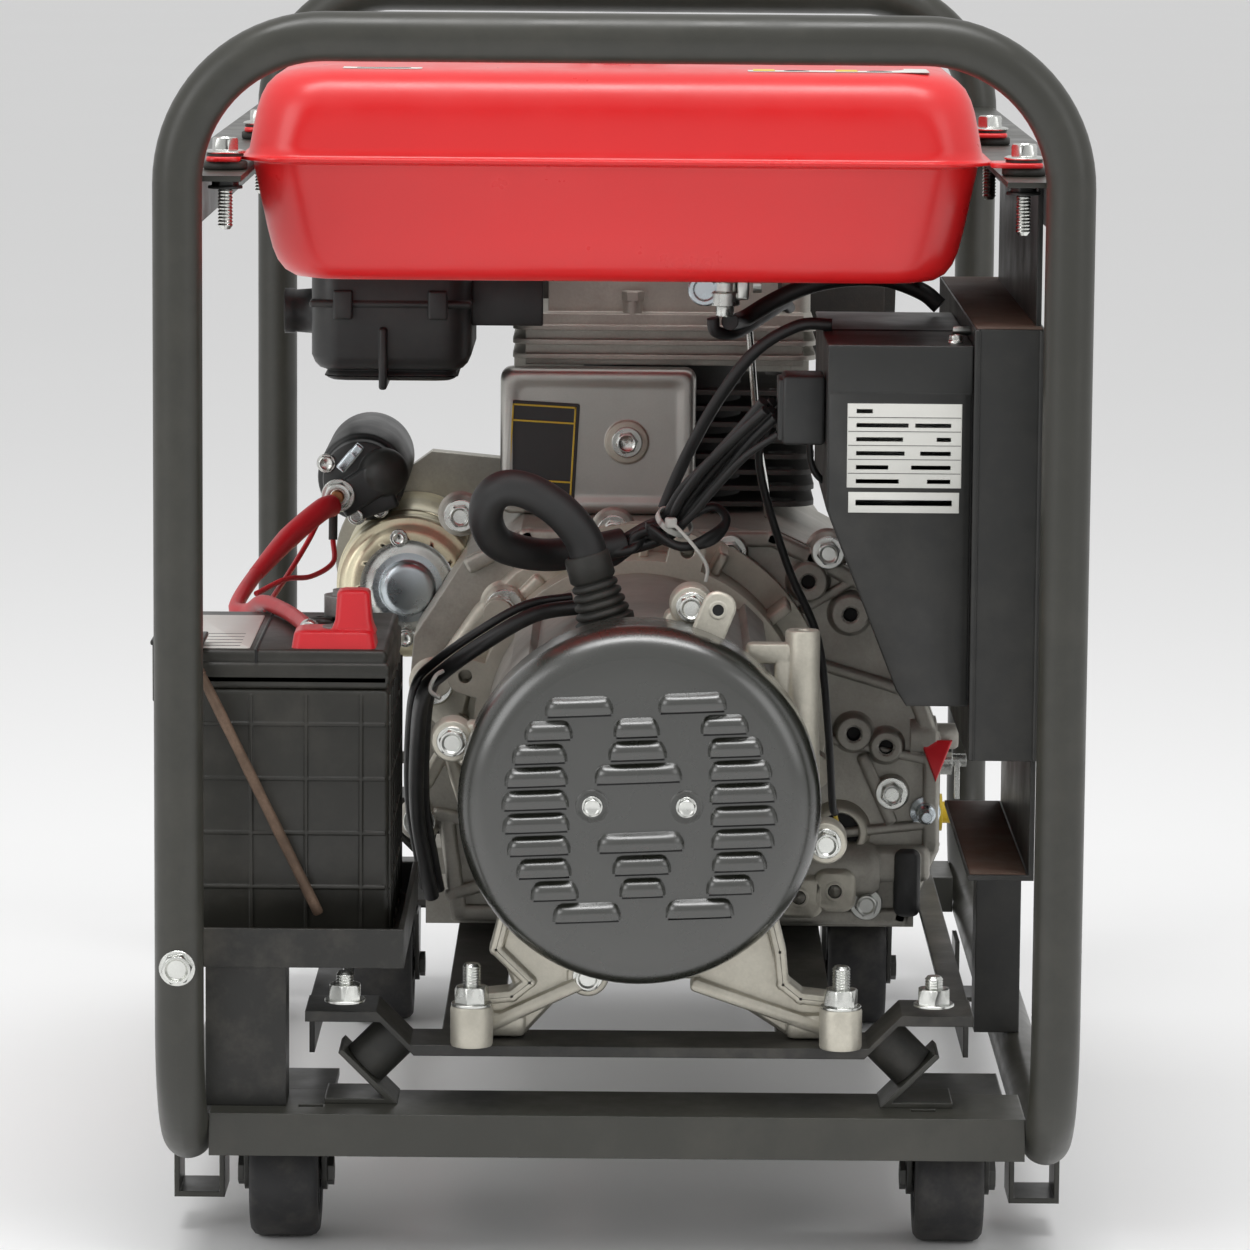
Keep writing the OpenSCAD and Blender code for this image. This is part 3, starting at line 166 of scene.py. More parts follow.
# key, name, colour, roughness, metal, drift, patch and grain scale, bump, depth, options
# The near-black recess finish in this table is painted shade, put into slots, holes and gaps where
# only shade falls.
FINISHES = """
frame frame_paint .032 .032 .026 .36 0 .1 6 900 .1 .0002 wear=.11,.11,.1 amount=.4 dust=.1
cradle cradle_paint .014 .014 .012 .4 0 .18 8 800 .16 .0003 wear=.1,.1,.09 amount=.5 dust=.25
fork fork_steel .05 .05 .046 .38 .3 .15 14 900 .1 .0002 wear=.42,.41,.39 amount=.4
tyre wheel_rubber .017 .017 .018 .62 0 .2 20 1400 .3 .0003 dust=.3
rubber rubber .022 .022 .019 .55 0 .2 16 1500 .3 .0003 dust=.2
battery battery_plastic .016 .0155 .012 .42 0 .14 10 2200 .22 .00025 dust=.12
lead lead .3 .3 .29 .55 .8 .25 40 600 .3 .0004
boot_red red_plastic .62 .012 .02 .38 0 .08 18 1200 .08 .0002 coat=.1
zinc zinc .66 .67 .64 .26 1 .12 40 900 .08 .0002 rim=.0006
yellow_zinc yellow_zinc .78 .72 .52 .36 .85 .18 26 900 .08 .0002 rim=.0006
dull_steel clamp_steel .15 .1 .07 .62 .5 .4 60 700 .4 .0005
tank tank_red .68 .012 .014 .34 0 .06 4 1300 .1 .00012 coat=.3 rim=.0008
alloy cast_aluminium .55 .525 .45 .46 .65 .14 14 520 .34 .0004 wear=.72,.71,.68 amount=.55 dust=.3
alloy_dark cast_aluminium_dark .4 .385 .345 .5 .65 .2 12 520 .34 .0004 \
    wear=.66,.65,.61 amount=.5 dust=.35
fins fin_iron .055 .054 .05 .55 .3 .2 20 600 .3 .0004 wear=.2,.2,.19 amount=.4
baffle sheet_aluminium .5 .49 .46 .36 .9 .1 10 900 .1 .0002 rim=.0015 dust=.15
plastic black_plastic .018 .019 .019 .42 0 .14 16 1800 .14 .0002 dust=.1
muffler muffler_steel .035 .032 .029 .6 .4 .3 14 700 .3 .0004 \
    wear=.14,.1,.08 amount=.5 dust=.3 dust_color=.12,.075,.05
machined machined_steel .52 .57 .6 .26 1 .1 30 1200 .08 .0002
copper copper_winding .33 .15 .07 .38 .8 .2 60 900 .3 .0004
stator lamination .36 .35 .32 .5 .7 .15 18 600 .2 .0003 dust=.3
cover cover_black .014 .015 .011 .27 0 .1 10 1000 .1 .00015 \
    wear=.09,.09,.08 amount=.4 coat=.8 specular=.9
panel panel_grey .014 .0145 .0135 .38 0 .1 8 1700 .16 .0002 wear=.08,.08,.08 amount=.4 dust=.08
cable cable_black .015 .015 .015 .42 0 .2 30 1200 .1 .0002
cable_red cable_red .5 .012 .02 .42 0 .12 30 1200 .1 .0002
hose hose_black .018 .018 .018 .5 0 .2 24 1500 .2 .0003
blue socket_blue .02 .06 .22 .4 0 .08 20 1500 .1 .0002
white white_plastic .62 .62 .58 .45 0 .06 20 1500 .1 .0002
label label_film .66 .66 .62 .42 0 .05 14 1100 .04 .0001
ink label_ink .03 .03 .03 .45 0 .1 14 1100 .04 .0001
ink_yellow label_yellow .7 .5 .04 .42 0 .06 14 1100 .04 .0001
yellow yellow_plastic .62 .44 .02 .42 0 .08 20 1300 .1 .0002
primer brown_primer .105 .06 .042 .62 0 .25 16 700 .3 .0004 dust=.4
dark dark_recess .006 .006 .006 .7 0 .3 20 900 .1 .0002
cap fuel_cap_steel .62 .62 .61 .24 1 .08 20 900 .05 .0002
"""

# material key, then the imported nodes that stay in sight
PAINT = """
frame near_hoop far_hoop bottom_rails crossbars tank_rails skid_feet isolator_brackets
cradle engine_cradle battery_tray
fork caster_mounts swivel_fork_left swivel_fork_right
rubber rubber_isolators
lead battery_terminals
cap fuel_cap
zinc tap_lever start_key speed_lever
alloy adapter_bracket
alloy_dark crankcase cylinder_head fan_housing
fins cylinder_barrel
plastic recoil_handle breaker_toggle
muffler muffler
machined crankshaft flywheel end_bearing
copper rotor
stator stator
yellow dipstick
panel control_panel control_box
blue sockets socket_lid_left socket_lid_right
white breakers
"""


def make_finishes():
    """Reads the table of materials."""
    made = {}
    for row in FINISHES.strip().splitlines():
        key, name, *rest = row.split()
        plain = [float(v) for v in rest if "=" not in v]
        options = {}
        for option, text in (v.split("=") for v in rest if "=" in v):
            numbers = tuple(float(v) for v in text.split(","))
            options[option] = numbers if len(numbers) > 1 else numbers[0]
        made[key] = surface(name, tuple(plain[:3]), *plain[3:], **options)
    return made


MAT = make_finishes()
for row in PAINT.strip().splitlines():
    key, *names = row.split()
    for name in names:
        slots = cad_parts[name].data.materials
        slots.clear()
        slots.append(MAT[key])


# ---- mesh kit ----


FLAT = Matrix.Identity(4)
OPEN, TOP, BASE = (0, 0), (0, 1), (1, 0)  # which ends lathe() closes


def spin(turn, axis="Z"):
    return Matrix.Rotation(radians(turn), 4, axis)


def up(x, y, z, turn=0):
    """Local Z points up."""
    return Matrix.Translation((x, y, z)) @ spin(turn)


def front(x, y, z, turn=0):
    """Local Z points at the camera end, local Y points up."""
    return Matrix.Translation((x, y, z)) @ spin(90, "X") @ spin(turn)


def back(x, y, z, turn=0):
    """Local Z points at the far end, local Y points up and local X to the left."""
    return Matrix.Translation((x, y, z)) @ spin(180) @ front(0, 0, 0, turn)


def side(x, y, z, turn=0):
    """Local Z points right, local X along the frame, local Y up."""
    lie = Matrix(((0, 0, 1, 0), (1, 0, 0, 0), (0, 1, 0, 0), (0, 0, 0, 1)))
    return Matrix.Translation((x, y, z)) @ lie @ spin(turn)


def rounded(x0, y0, x1, y1, r, n=6):
    """Outline of a rectangle with round corners."""
    out = []
    for cx, cy, a0 in ((x1 - r, y1 - r, 0), (x0 + r, y1 - r, 90), (x0 + r, y0 + r, 180),
            (x1 - r, y0 + r, 270)):
        for i in range(n + 1):
            a = radians(a0 + 90 * i / n)
            out.append((cx + r * cos(a), cy + r * sin(a)))
    return out


def rect(x0, y0, x1, y1):
    """Corners of a rectangle."""
    return list(zip((x0, x1, x1, x0), (y0, y0, y1, y1)))


def table(text):
    """Rows of numbers, with a comma after each row."""
    return [tuple(float(v) for v in row.split()) for row in text.split(",")]


def circle(place, r, h, steps):
    """Points round local Z at height h; r is a number or a function of the angle."""
    out = []
    for i in range(steps):
        a = 2 * pi * i / steps
        d = r(a) if callable(r) else r
        out.append(place @ Vector((d * cos(a), d * sin(a), h)))
    return out


class Piece:
    """Gathers shapes in millimetres and becomes one object that rides on a body."""

    def __init__(self, name, *mats):
        self.name = name
        self.mats = mats
        self.bm = bmesh.new()
        self.use = 0

    def of(self, use):
        """Chooses the material of what follows, by its place in mats."""
        self.use = use
        return self

    def faces(self, rings, close=True, cap_a=True, cap_b=True):
        """Skins a list of rings of points, each joined to the next."""
        rows = [[self.bm.verts.new(p) for p in ring] for ring in rings]
        n = len(rows[0])
        for a, b in zip(rows, rows[1:]):
            for i in range(n if close else n - 1):
                j = (i + 1) % n
                self.face((a[i], a[j], b[j], b[i]))
        if cap_a:
            self.face(reversed(rows[0]))
        if cap_b:
            self.face(rows[-1])

    def face(self, verts):
        verts = list(verts)
        if len(set(verts)) < 3:
            return
        f = self.bm.faces.new(verts)
        f.material_index = self.use
        f.smooth = True

    def lathe(self, place, profile, steps=48, caps=(True, True)):
        """Turns (radius, height) pairs, or a table of them, about local Z."""
        if isinstance(profile, str):
            profile = table(profile)
        self.faces([circle(place, r, h, steps) for r, h in profile], True, *caps)

    def box(self, place, lo, hi, bevel=1):
        """A box with rounded edges, in three steps of rounding."""
        lx, ly, lz = lo
        hx, hy, hz = hi
        b = min(bevel, (hx - lx) / 2.01, (hy - ly) / 2.01, (hz - lz) / 2.01)
        rings = []
        for inset, z in ((b, lz), (b * 0.3, lz + b * 0.3), (0, lz + b), (0, hz - b),
                (b * 0.3, hz - b * 0.3), (b, hz)):
            ring = rounded(lx + inset, ly + inset, hx - inset, hy - inset,
                max(b - inset * 0.6, b * 0.3), 3)
            rings.append([place @ Vector((x, y, z)) for x, y in ring])
        self.faces(rings)

    def plate(self, place, outline, lo, hi, bevel=0.8):
        """An outline (anticlockwise) extruded along local Z, with its edges eased."""
        n = len(outline)
        inner = []
        for i in range(n):
            p = Vector(outline[i - 1]).to_2d()
            q = Vector(outline[i]).to_2d()
            s = Vector(outline[(i + 1) % n]).to_2d()
            a = (q - p).normalized()
            b = (s - q).normalized()
            miter = (Vector((-a.y, a.x)) + Vector((-b.y, b.x)))
            miter /= max(miter.length_squared / 2, 0.35)
            inner.append(q + miter * bevel)
        rings = []
        for ring, z in ((inner, lo), (outline, lo + bevel), (outline, hi - bevel),
                (inner, hi)):
            rings.append([place @ Vector((p[0], p[1], z)) for p in ring])
        self.faces(rings)

    def bolt(self, place, af=13, h=6, washer=0, dome=0.8):
        """Hexagon head with a chamfered crown, a dished top and a washer face."""
        r = af / sqrt(3)
        if washer:
            self.lathe(place, [(washer, 0), (washer, 1.2), (washer - 0.4, 1.6), (r, 1.6)], 28)
            place = place @ Matrix.Translation((0, 0, 1.6))
        half = af / 2
        self.faces([circle(place, lambda a: min(half / cos(a % (pi / 3) - pi / 6), most), z,
            30) for most, z in ((r * 0.995, 0), (r * 0.995, h - 1.3), (half * 1.02, h - 0.3),
            (half * 0.86, h), (half * 0.68, h - dome))])

    def nut(self, place, thread=5, h=8, stud=14, washer=10):
        """Nut with washer on a threaded stud."""
        af = thread * 3.3
        self.bolt(place, af, h, washer, 0.2)
        base = h + (1.6 if washer else 0)
        turns = int(stud / 1.5)
        profile = [(thread - 0.5, base - 1)]
        for i in range(turns):
            z = base + i * 1.5
            profile += [(thread - 0.6, z), (thread, z + 0.55), (thread - 0.6, z + 1.1)]
        profile += [(thread - 1.4, base + turns * 1.5 + 0.8)]
        self.lathe(place, profile, 20)

    def tube(self, points, r, steps=10, per=6, taper=None):
        """A round cord on a smooth curve through the points."""
        path = smooth_path(points, per)
        rings = []
        side_dir = None
        for i, p in enumerate(path):
            ahead = path[min(i + 1, len(path) - 1)] - path[max(i - 1, 0)]
            ahead.normalize()
            if side_dir is None:
                side_dir = ahead.orthogonal().normalized()
            side_dir = (side_dir - ahead * side_dir.dot(ahead)).normalized()
            other = ahead.cross(side_dir)
            rr = taper(i / (len(path) - 1)) if taper else r
            ring = []
            for k in range(steps):
                a = 2 * pi * k / steps
                ring.append(p + side_dir * (rr * cos(a)) + other * (rr * sin(a)))
            rings.append(ring)
        self.faces(rings)

    def done(self, node, sharp, body="frame"):
        """Makes the object, in metres, and sets its sharp edges."""
        bmesh.ops.remove_doubles(self.bm, verts=self.bm.verts, dist=0.0005)
        bmesh.ops.recalc_face_normals(self.bm, faces=self.bm.faces)
        mesh = bpy.data.meshes.new(self.name)
        self.bm.transform(Matrix.Scale(MM, 4))
        self.bm.to_mesh(mesh)
        self.bm.free()
        for key in self.mats:
            mesh.materials.append(MAT[key])
        mesh.set_sharp_from_angle(angle=radians(sharp))
        obj = bpy.data.objects.new(self.name, mesh)
        bpy.context.collection.objects.link(obj)
        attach(obj, body)
        if node:
            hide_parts(node)


def smooth_path(points, per=6):
    """Catmull-Rom curve through the points."""
    pts = [Vector(p) for p in (table(points) if isinstance(points, str) else points)]
    pts = [2 * pts[0] - pts[1]] + pts + [2 * pts[-1] - pts[-2]]
    out = []
    for a, b, c, d in zip(pts, pts[1:], pts[2:], pts[3:]):
        for i in range(per):
            t = i / per
            out.append(0.5 * ((2 * b) + (c - a) * t + (2 * a - 5 * b + 4 * c - d) * t * t
                + (3 * b - a - 3 * c + d) * t ** 3))
    out.append(pts[-2])
    return out


# ---- end cover ----


def louvre(p, place, w, h=10.2, tall=5):
    """A pressed hood, open along its lower edge, with a near-black quad under the lip as painted
    shade in the opening.
    """
    cols, rows = 18, 10
    grid = []
    for j in range(rows + 1):
        v = j / rows
        half = w / 2 - h * 0.55 * (1 - sqrt(max(0, 1 - v ** 2.4)))
        if v < 0.4:
            rise = tall * (0.7 + 0.3 * sin(pi / 2 * v / 0.4))
        else:
            rise = tall * cos(pi / 2 * ((v - 0.4) / 0.6) ** 1.25)
        line = []
        for i in range(cols + 1):
            u = -1 + 2 * i / cols
            u = copysign(abs(u) ** 0.7, u)
            fade = (1 - abs(u) ** 5) ** 0.6 if abs(u) < 1 else 0
            line.append(place @ Vector((u * half, -h / 2 + v * h, 0.02 + rise * fade)))
        grid.append([p.bm.verts.new(q) for q in line])
    for a, b in zip(grid, grid[1:]):
        for i in range(cols):
            p.face((a[i], a[i + 1], b[i + 1], b[i]))
    # painted shade: a near-black quad on the plate under the lip stands in for the shade in the
    # opening
    keep = p.use
    p.use = 1
    corners = ((-w / 2 + 1.5, -h / 2 - 1.5), (w / 2 - 1.5, -h / 2 - 1.5),
        (w / 2 - 2.5, -h / 2 + 1.2), (-w / 2 + 2.5, -h / 2 + 1.2))
    p.face([p.bm.verts.new(place @ Vector((*q, 0.06))) for q in corners])
    p.use = keep


def add_cover():
    """Domed cover with twenty-six pressed louvres and a rolled rim."""
    lo, hi = span("rear_cover")
    x, z = (lo.x + hi.x) / 2, (lo.z + hi.z) / 2
    r, y, deep = (hi.x - lo.x) / 2, lo.y, hi.y - lo.y
    p = Piece("cover_shell", "cover", "dark", "zinc")
    p.lathe(front(x, y, z), [(0.01, 0.4), (r - 30, 0.4), (r - 17, 0), (r - 13.5, -0.3),
        (r - 9, -2.2), (r - 5, -5.4), (r - 2, -9.6), (r - 0.4, -14.5), (r, -19), (r, -deep + 4),
        (r - 0.1, -deep + 3.2), (r - 0.9, -deep + 2.6), (r - 0.9, -deep), (r - 3, -deep),
        (r - 3, -20), (r - 8, -8)], 96, OPEN)
    turn = 2.5
    for i in range(10):
        dz = (4.5 - i) * 12.8
        inner = {0: 12, 9: 12, 1: 35, 8: 35}.get(i, 38.5)
        outer = sqrt(76.5 ** 2 - dz ** 2)
        for s in (-1, 1):
            mid = s * (inner + outer) / 2
            spot = front(x, y - 0.4, z + 2, turn) @ Matrix.Translation((mid, dz, 0))
            louvre(p, spot, outer - inner)
    for dz, w in ((44.8, 26), (32, 33), (19.2, 49)):
        for s in (-1, 1):
            spot = front(x, y - 0.4, z + 2, turn) @ Matrix.Translation((0, s * dz, 0))
            louvre(p, spot, w)
    for dx in (-26, 26):
        p.of(0).lathe(front(x + dx, y - 0.4, z + 2), "9.5 -0.1, 9 0.7, 7.8 0.3, 6.6 -0.2", 32,
            OPEN)
        p.of(2).bolt(front(x + dx, y - 0.5, z + 2, 17), 9, 3.4, 5.9, 0.6)
    p.done("rear_cover", 50)


# ---- fuel tank ----


def add_tank():
    """Two deep pressed halves on a seam flange, with tabs, neck and blank decals."""
    lo, hi = span("fuel_tank")
    half_l = (hi.y - lo.y) / 2
    cx, cy = (lo.x + hi.x) / 2 - 5, (lo.y + hi.y) / 2
    seam = lo.z + SEAM_UP
    wide = half_l + 19
    p = Piece("tank_shell", "tank", "rubber", "label", "ink_yellow", "ink")

    def ring(inset, z, r):
        return [Vector((cx + a, cy + b, z)) for a, b in rounded(-wide + inset, -half_l + inset,
            wide - inset, half_l - inset, r, 14)]

    lower = table("3.6 -1.4 34, 7.2 -2.6 34, 8.6 -10 34, 11.5 -25 34, 14.5 -40 34, 17.2 -51 33, "
        "20 -58 32, 24 -63.4 30, 29.5 -66.8 27, 36 -68 24, 60 -68 20, 110 -68 12")
    upper = table("3.6 1.4 34, 4.6 2.6 34, 5.6 8 34, 7.4 18 34, 9.2 27 34, 11.4 34 34, "
        "14.5 40 33, 19 44.6 32, 25 47.6 30, 33 49.2 26, 60 50.2 20, 110 50.8 12")
    rim = [(0.2, -0.9, 34), (0, 0, 34), (0.2, 0.9, 34)]
    rings = [ring(i, seam + dz, r) for i, dz, r in reversed(lower)]
    rings += [ring(i, seam + dz, r) for i, dz, r in rim]
    rings += [ring(i, seam + dz, r) for i, dz, r in upper]
    p.faces(rings)
    for y in (lo.y + 18, hi.y - 50):
        for s in (-1, 1):
            edge = lo.x + 0.01 if s < 0 else hi.x - 0.01
            inner = cx + s * (wide - 2)
            a, b = min(edge, inner), max(edge, inner)
            p.plate(up(0, y, seam), rounded(a, -15, b, 15, 6, 6), -1.3, 1.3, 0.5)
            x = edge - s * 10
            p.of(1).lathe(up(x, y, seam - 6), "5 0, 11.5 0, 12.3 0.8, 12.3 3.9, 11.5 4.6, 5 4.6",
                32, OPEN)
            p.lathe(up(x, y, seam + 1.3), "5 0, 10 0, 10.4 0.6, 10 1.6, 5 1.6", 32, OPEN)
            p.use = 0
    p.lathe(up(cx, cy, seam + 48), [(26, 1.5), (24, 3.2), (22.2, 5.5), (22, hi.z - seam - 50),
        (22, hi.z - seam - 48.5), (18, hi.z - seam - 48), (18, 0)], 48, OPEN)
    # blank decals near the front edge of the top
    for x0, x1, kind in ((-157, -113, 0), (68, 169, 1)):
        y0 = lo.y + 34
        p.of(2).plate(up(0, 0, seam + 49.35), rounded(x0, y0, x1, y0 + 46, 3, 4), 0, 0.4, 0.1)
        film = up(x0, y0, seam + 49.7)
        if kind:
            p.use = 3
            for a in (3, 49):
                p.plate(film, rect(a, 2, a + 12, 22), 0, 0.3, 0.05)
            p.use = 4
            for a in (20, 66):
                p.plate(film, [(a, 3), (a + 14, 3), (a + 9, 10), (a + 4, 12)], 0, 0.3, 0.05)
        else:
            p.of(4).plate(film, [(8, 3), (38, 3), (36, 6), (10, 6)], 0, 0.3, 0.05)
    p.done("fuel_tank", 60)


# ---- battery ----


def add_battery():
    """Ribbed case, and a lid with vents and a blank label."""
    lo, hi = span("battery_case")
    p = Piece("battery_case_shell", "battery", "dark")
    p.box(FLAT, (lo.x + 1.2, lo.y + 1.2, lo.z), (hi.x - 1.2, hi.y - 1.2, hi.z), 3)
    pitch = 31
    zs = [z for z in (lo.z + 4 + i * pitch for i in range(5)) if z < hi.z - 8]
    wide, deep = hi.x - lo.x, hi.y - lo.y
    for along, place in ((wide, front(lo.x, lo.y + 1.2, 0)), (deep,
            side(hi.x - 1.2, lo.y, 0)), (wide, back(hi.x, hi.y - 1.2, 0)),
            (deep, side(lo.x + 1.2, hi.y, 0) @ spin(180, "Y"))):
        n = int((along - 10) / pitch)
        start = (along - n * pitch) / 2
        for i in range(n + 1):
            a = start + i * pitch
            p.box(place, (a - 1.1, lo.z + 2, -0.3), (a + 1.1, hi.z - 3, 1.2), 0.5)
        for z in zs:
            p.box(place, (3, z - 1.1, -0.3), (along - 3, z + 1.1, 1.15), 0.5)
    p.done("battery_case", 50)

    lo, hi = span("battery_lid")
    p = Piece("battery_lid_shell", "battery", "dark", "label", "ink")
    p.box(FLAT, (lo.x, lo.y, lo.z), (hi.x, hi.y, lo.z + 15), 2.4)
    p.box(FLAT, (lo.x + 1.5, lo.y + 1.5, lo.z + 13), (hi.x - 1.5, hi.y - 1.5, hi.z), 2.8)
    p.box(FLAT, (lo.x + 0.2, lo.y, lo.z + 3), (hi.x - 0.2, lo.y + 6, lo.z + 7.5), 1)
    split = lo.x + (hi.x - lo.x) * 0.4
    # painted shade: the near-black strip along the split and the near-black vent bars stand in for
    # the shade in the groove and in the vents
    p.of(1).box(FLAT, (split - 0.8, lo.y + 0.9, lo.z + 8), (split + 0.8, hi.y - 2,
        hi.z + 0.15), 0.3)
    for i in range(6):
        x = hi.x - 46 + (i % 3) * 13
        y = lo.y + 16 + (i // 3) * 22
        p.box(up(x, y, hi.z - 0.4, 24), (-4.6, -1.2, 0), (4.6, 1.2, 0.65), 0.3)
    p.of(2).plate(up(0, 0, hi.z), rounded(lo.x + 5, lo.y + 6, split - 4, hi.y - 22, 2, 4),
        -0.1, 0.35, 0.1)
    p.use = 3
    for i in range(5):
        y = lo.y + 14 + i * 12
        p.plate(up(0, 0, hi.z + 0.3), rect(lo.x + 10, y, split - 10, y + 1.4), 0, 0.15, 0.02)
    for i in range(6):
        p.use = 0
        y = lo.y + 30 + i * 19
        p.lathe(up((split + hi.x) / 2 - 8, y, hi.z), "7.5 -0.5, 7.5 1.4, 6.8 2, 2.6 2, "
            "2.2 1.2", 28, TOP)
    p.done("battery_lid", 50)


# ---- starter ----


def add_starter():
    """Yellow plated body with a stepped end plate, through bolts and a grey cap."""
    lo, hi = span("starter_motor")
    x, z, y0, y1 = -135, 330, lo.y, hi.y
    p = Piece("starter_body", "yellow_zinc", "zinc", "machined", "dark", "plastic")
    at = front(x, y0, z)
    p.lathe(at, [(30, -0.4), (33.5, -0.2), (36.5, -1.2), (38.6, -3.8), (40.6, -4.8), (43.4, -5),
        (44.6, -6.2), (45, -8), (45, -13), (44.2, -14), (44.2, -15), (45, -16),
        (45, -(y1 - y0) + 30), (43.5, -(y1 - y0) + 28), (43.5, -(y1 - y0))], 72, TOP)
    p.of(1).lathe(at, "22 0.3, 23.5 0, 26 -0.8, 28.5 -0.9, 30 -0.4", 60, OPEN)
    p.of(2).lathe(at, "0.01 7.4, 12 7.3, 15.4 6.6, 16.8 5, 17.2 2.4, 17.6 0.8, 19.5 0.5, 22 0.3",
        48, OPEN)
    p.use = 1
    for a in (100, 268, 18, 332, 200):
        ux, uz = cos(radians(a)), sin(radians(a))
        if a in (100, 268):
            p.bolt(front(x + 32 * ux, y0 - 0.5, z + 32 * uz, 20), 7.5, 3.6, 5.6, 0.5)
        else:
            p.lathe(front(x + 33 * ux, y0 - 0.8, z + 33 * uz), "4.6 -0.5, 4.4 1.6, 3.2 2.4, "
                "0.01 2.6", 24, OPEN)
    p.of(0).lathe(front(x, y0 + 30, z), "45.2 0, 46 -0.8, 46 -5, 45.2 -6", 72, OPEN)
    p.done("starter_motor", 40)


# ---- baffle with a blank plate ----


def add_baffle():
    """Pressed cover over the fins with rolled edges, a bolt and a blank data plate."""
    lo, hi = span("air_baffle")
    p = Piece("baffle_sheet", "baffle", "ink", "ink_yellow", "zinc", "alloy")
    w = hi.x - lo.x
    h = hi.z - lo.z
    at = front(lo.x, lo.y, lo.z)
    deep = hi.y - lo.y
    outline = rounded(0, 0, w, h, 7, 6)
    rings = []
    for inset, z in ((0, -deep), (0, -6), (0.3, -3.4), (1.3, -1.3), (3, -0.2), (5.5, 0),
            (8.5, -0.4), (10.5, -1.3), (13, -1.6)):
        k = [(inset + x * (w - 2 * inset) / w, inset + y * (h - 2 * inset) / h)
             for x, y in outline]
        rings.append([at @ Vector((x, y, z)) for x, y in k])
    p.faces(rings, True, False, True)
    p.of(4).lathe(front((lo.x + hi.x) / 2 + 18, lo.y + 1.6, lo.z + h * 0.5),
        [(14, 0), (13, 1.4), (9, 2)], 40, TOP)
    p.of(3).bolt(front((lo.x + hi.x) / 2 + 18, lo.y - 0.4, lo.z + h * 0.5, 10), 12, 5.5, 9.5)
    tilt = -3
    base = front(lo.x + 2.5, lo.y + 1, lo.z + h * 0.13, tilt)
    p.of(1).plate(base, rounded(0, 0, 44, 60, 1.5, 4), 0, 0.7, 0.15)
    p.use = 2
    t = 1.1
    for x0, y0, x1, y1 in ((2, 2, 42, 2 + t), (2, 58 - t, 42, 58), (2, 2, 2 + t, 58),
            (42 - t, 2, 42, 58), (2, 47, 42, 47 + t), (2, 10, 42, 10 + t)):
        p.plate(base, rect(x0, y0, x1, y1), 0.6, 0.85, 0.05)
    p.done("air_baffle", 40)


add_cover()
add_tank()
add_battery()
add_starter()
add_baffle()


# ---- boots, sleeve and cables ----


def lean(x, y, z, tilt):
    """Local Z leans by tilt degrees towards -X."""
    return Matrix.Translation((x, y, z)) @ spin(-tilt, "Y")


def add_boots():
    """Ribbed boot over the alternator outlet and the grommet block on the box."""
    p = Piece("rubber_boot_shell", "rubber", "dark", "plastic")
    profile = table("16.5 -2, 17 0, 17 2.4, 15.2 3.4")
    for i in range(4):
        z = 4.2 + i * 5.2
        r = 15.6 - i * 0.75
        profile += [(r - 2.2, z), (r - 0.7, z + 0.5), (r, z + 1.6), (r - 0.1, z + 2.9),
            (r - 1, z + 3.9), (r - 2.4, z + 4.5)]
    profile += table("12.4 25.6, 13.2 26.6, 13 39.4, 12.2 40.6, 10.4 41, 9.6 38")
    p.lathe(lean(-9, -312, 357, 16), profile, 48, OPEN)
    x0, x1 = span("rubber_boots")[1].x - 24, span("control_box")[0].x - 0.4
    p.of(2).box(FLAT, (x0, -331, 461), (x1, -295, 500), 2)
    p.box(FLAT, (x0 - 2.6, -329, 463), (x0 + 1, -297, 498), 1.2)
    p.done("rubber_boots", 50)


SLEEVE = table("-17.5 -312 390, -22 -313 405, -35 -316 421, -52 -319 432, -66 -319 434, "
    "-75 -316 427, -77 -309 414, -71 -300 401, -57 -289 394, -40 -277 391, -18 -262 392, "
    "0 -254 395")
LOOM = table("84.5 -314 479, 70 -298 463, 54 -280 443, 40 -268 424, 29 -262 407, 14 -256 400")
OFFSETS = table("0 0, 6.2 0.4, -6 0.8, 3.1 5.4, -3.1 5.2, 0.4 -5.6")
BOX_CABLE = table("119 -270 523.8, 100 -268 523, 76 -262 508, 56 -246 480, 42 -234 454, "
    "32 -226 432, 24 -224 412")
SENSOR = table("83.5 -311 474, 78 -280 444, 96 -220 380, 116 -180 330, 124 -150 270, "
    "128 -120 222, 130 -112 214")


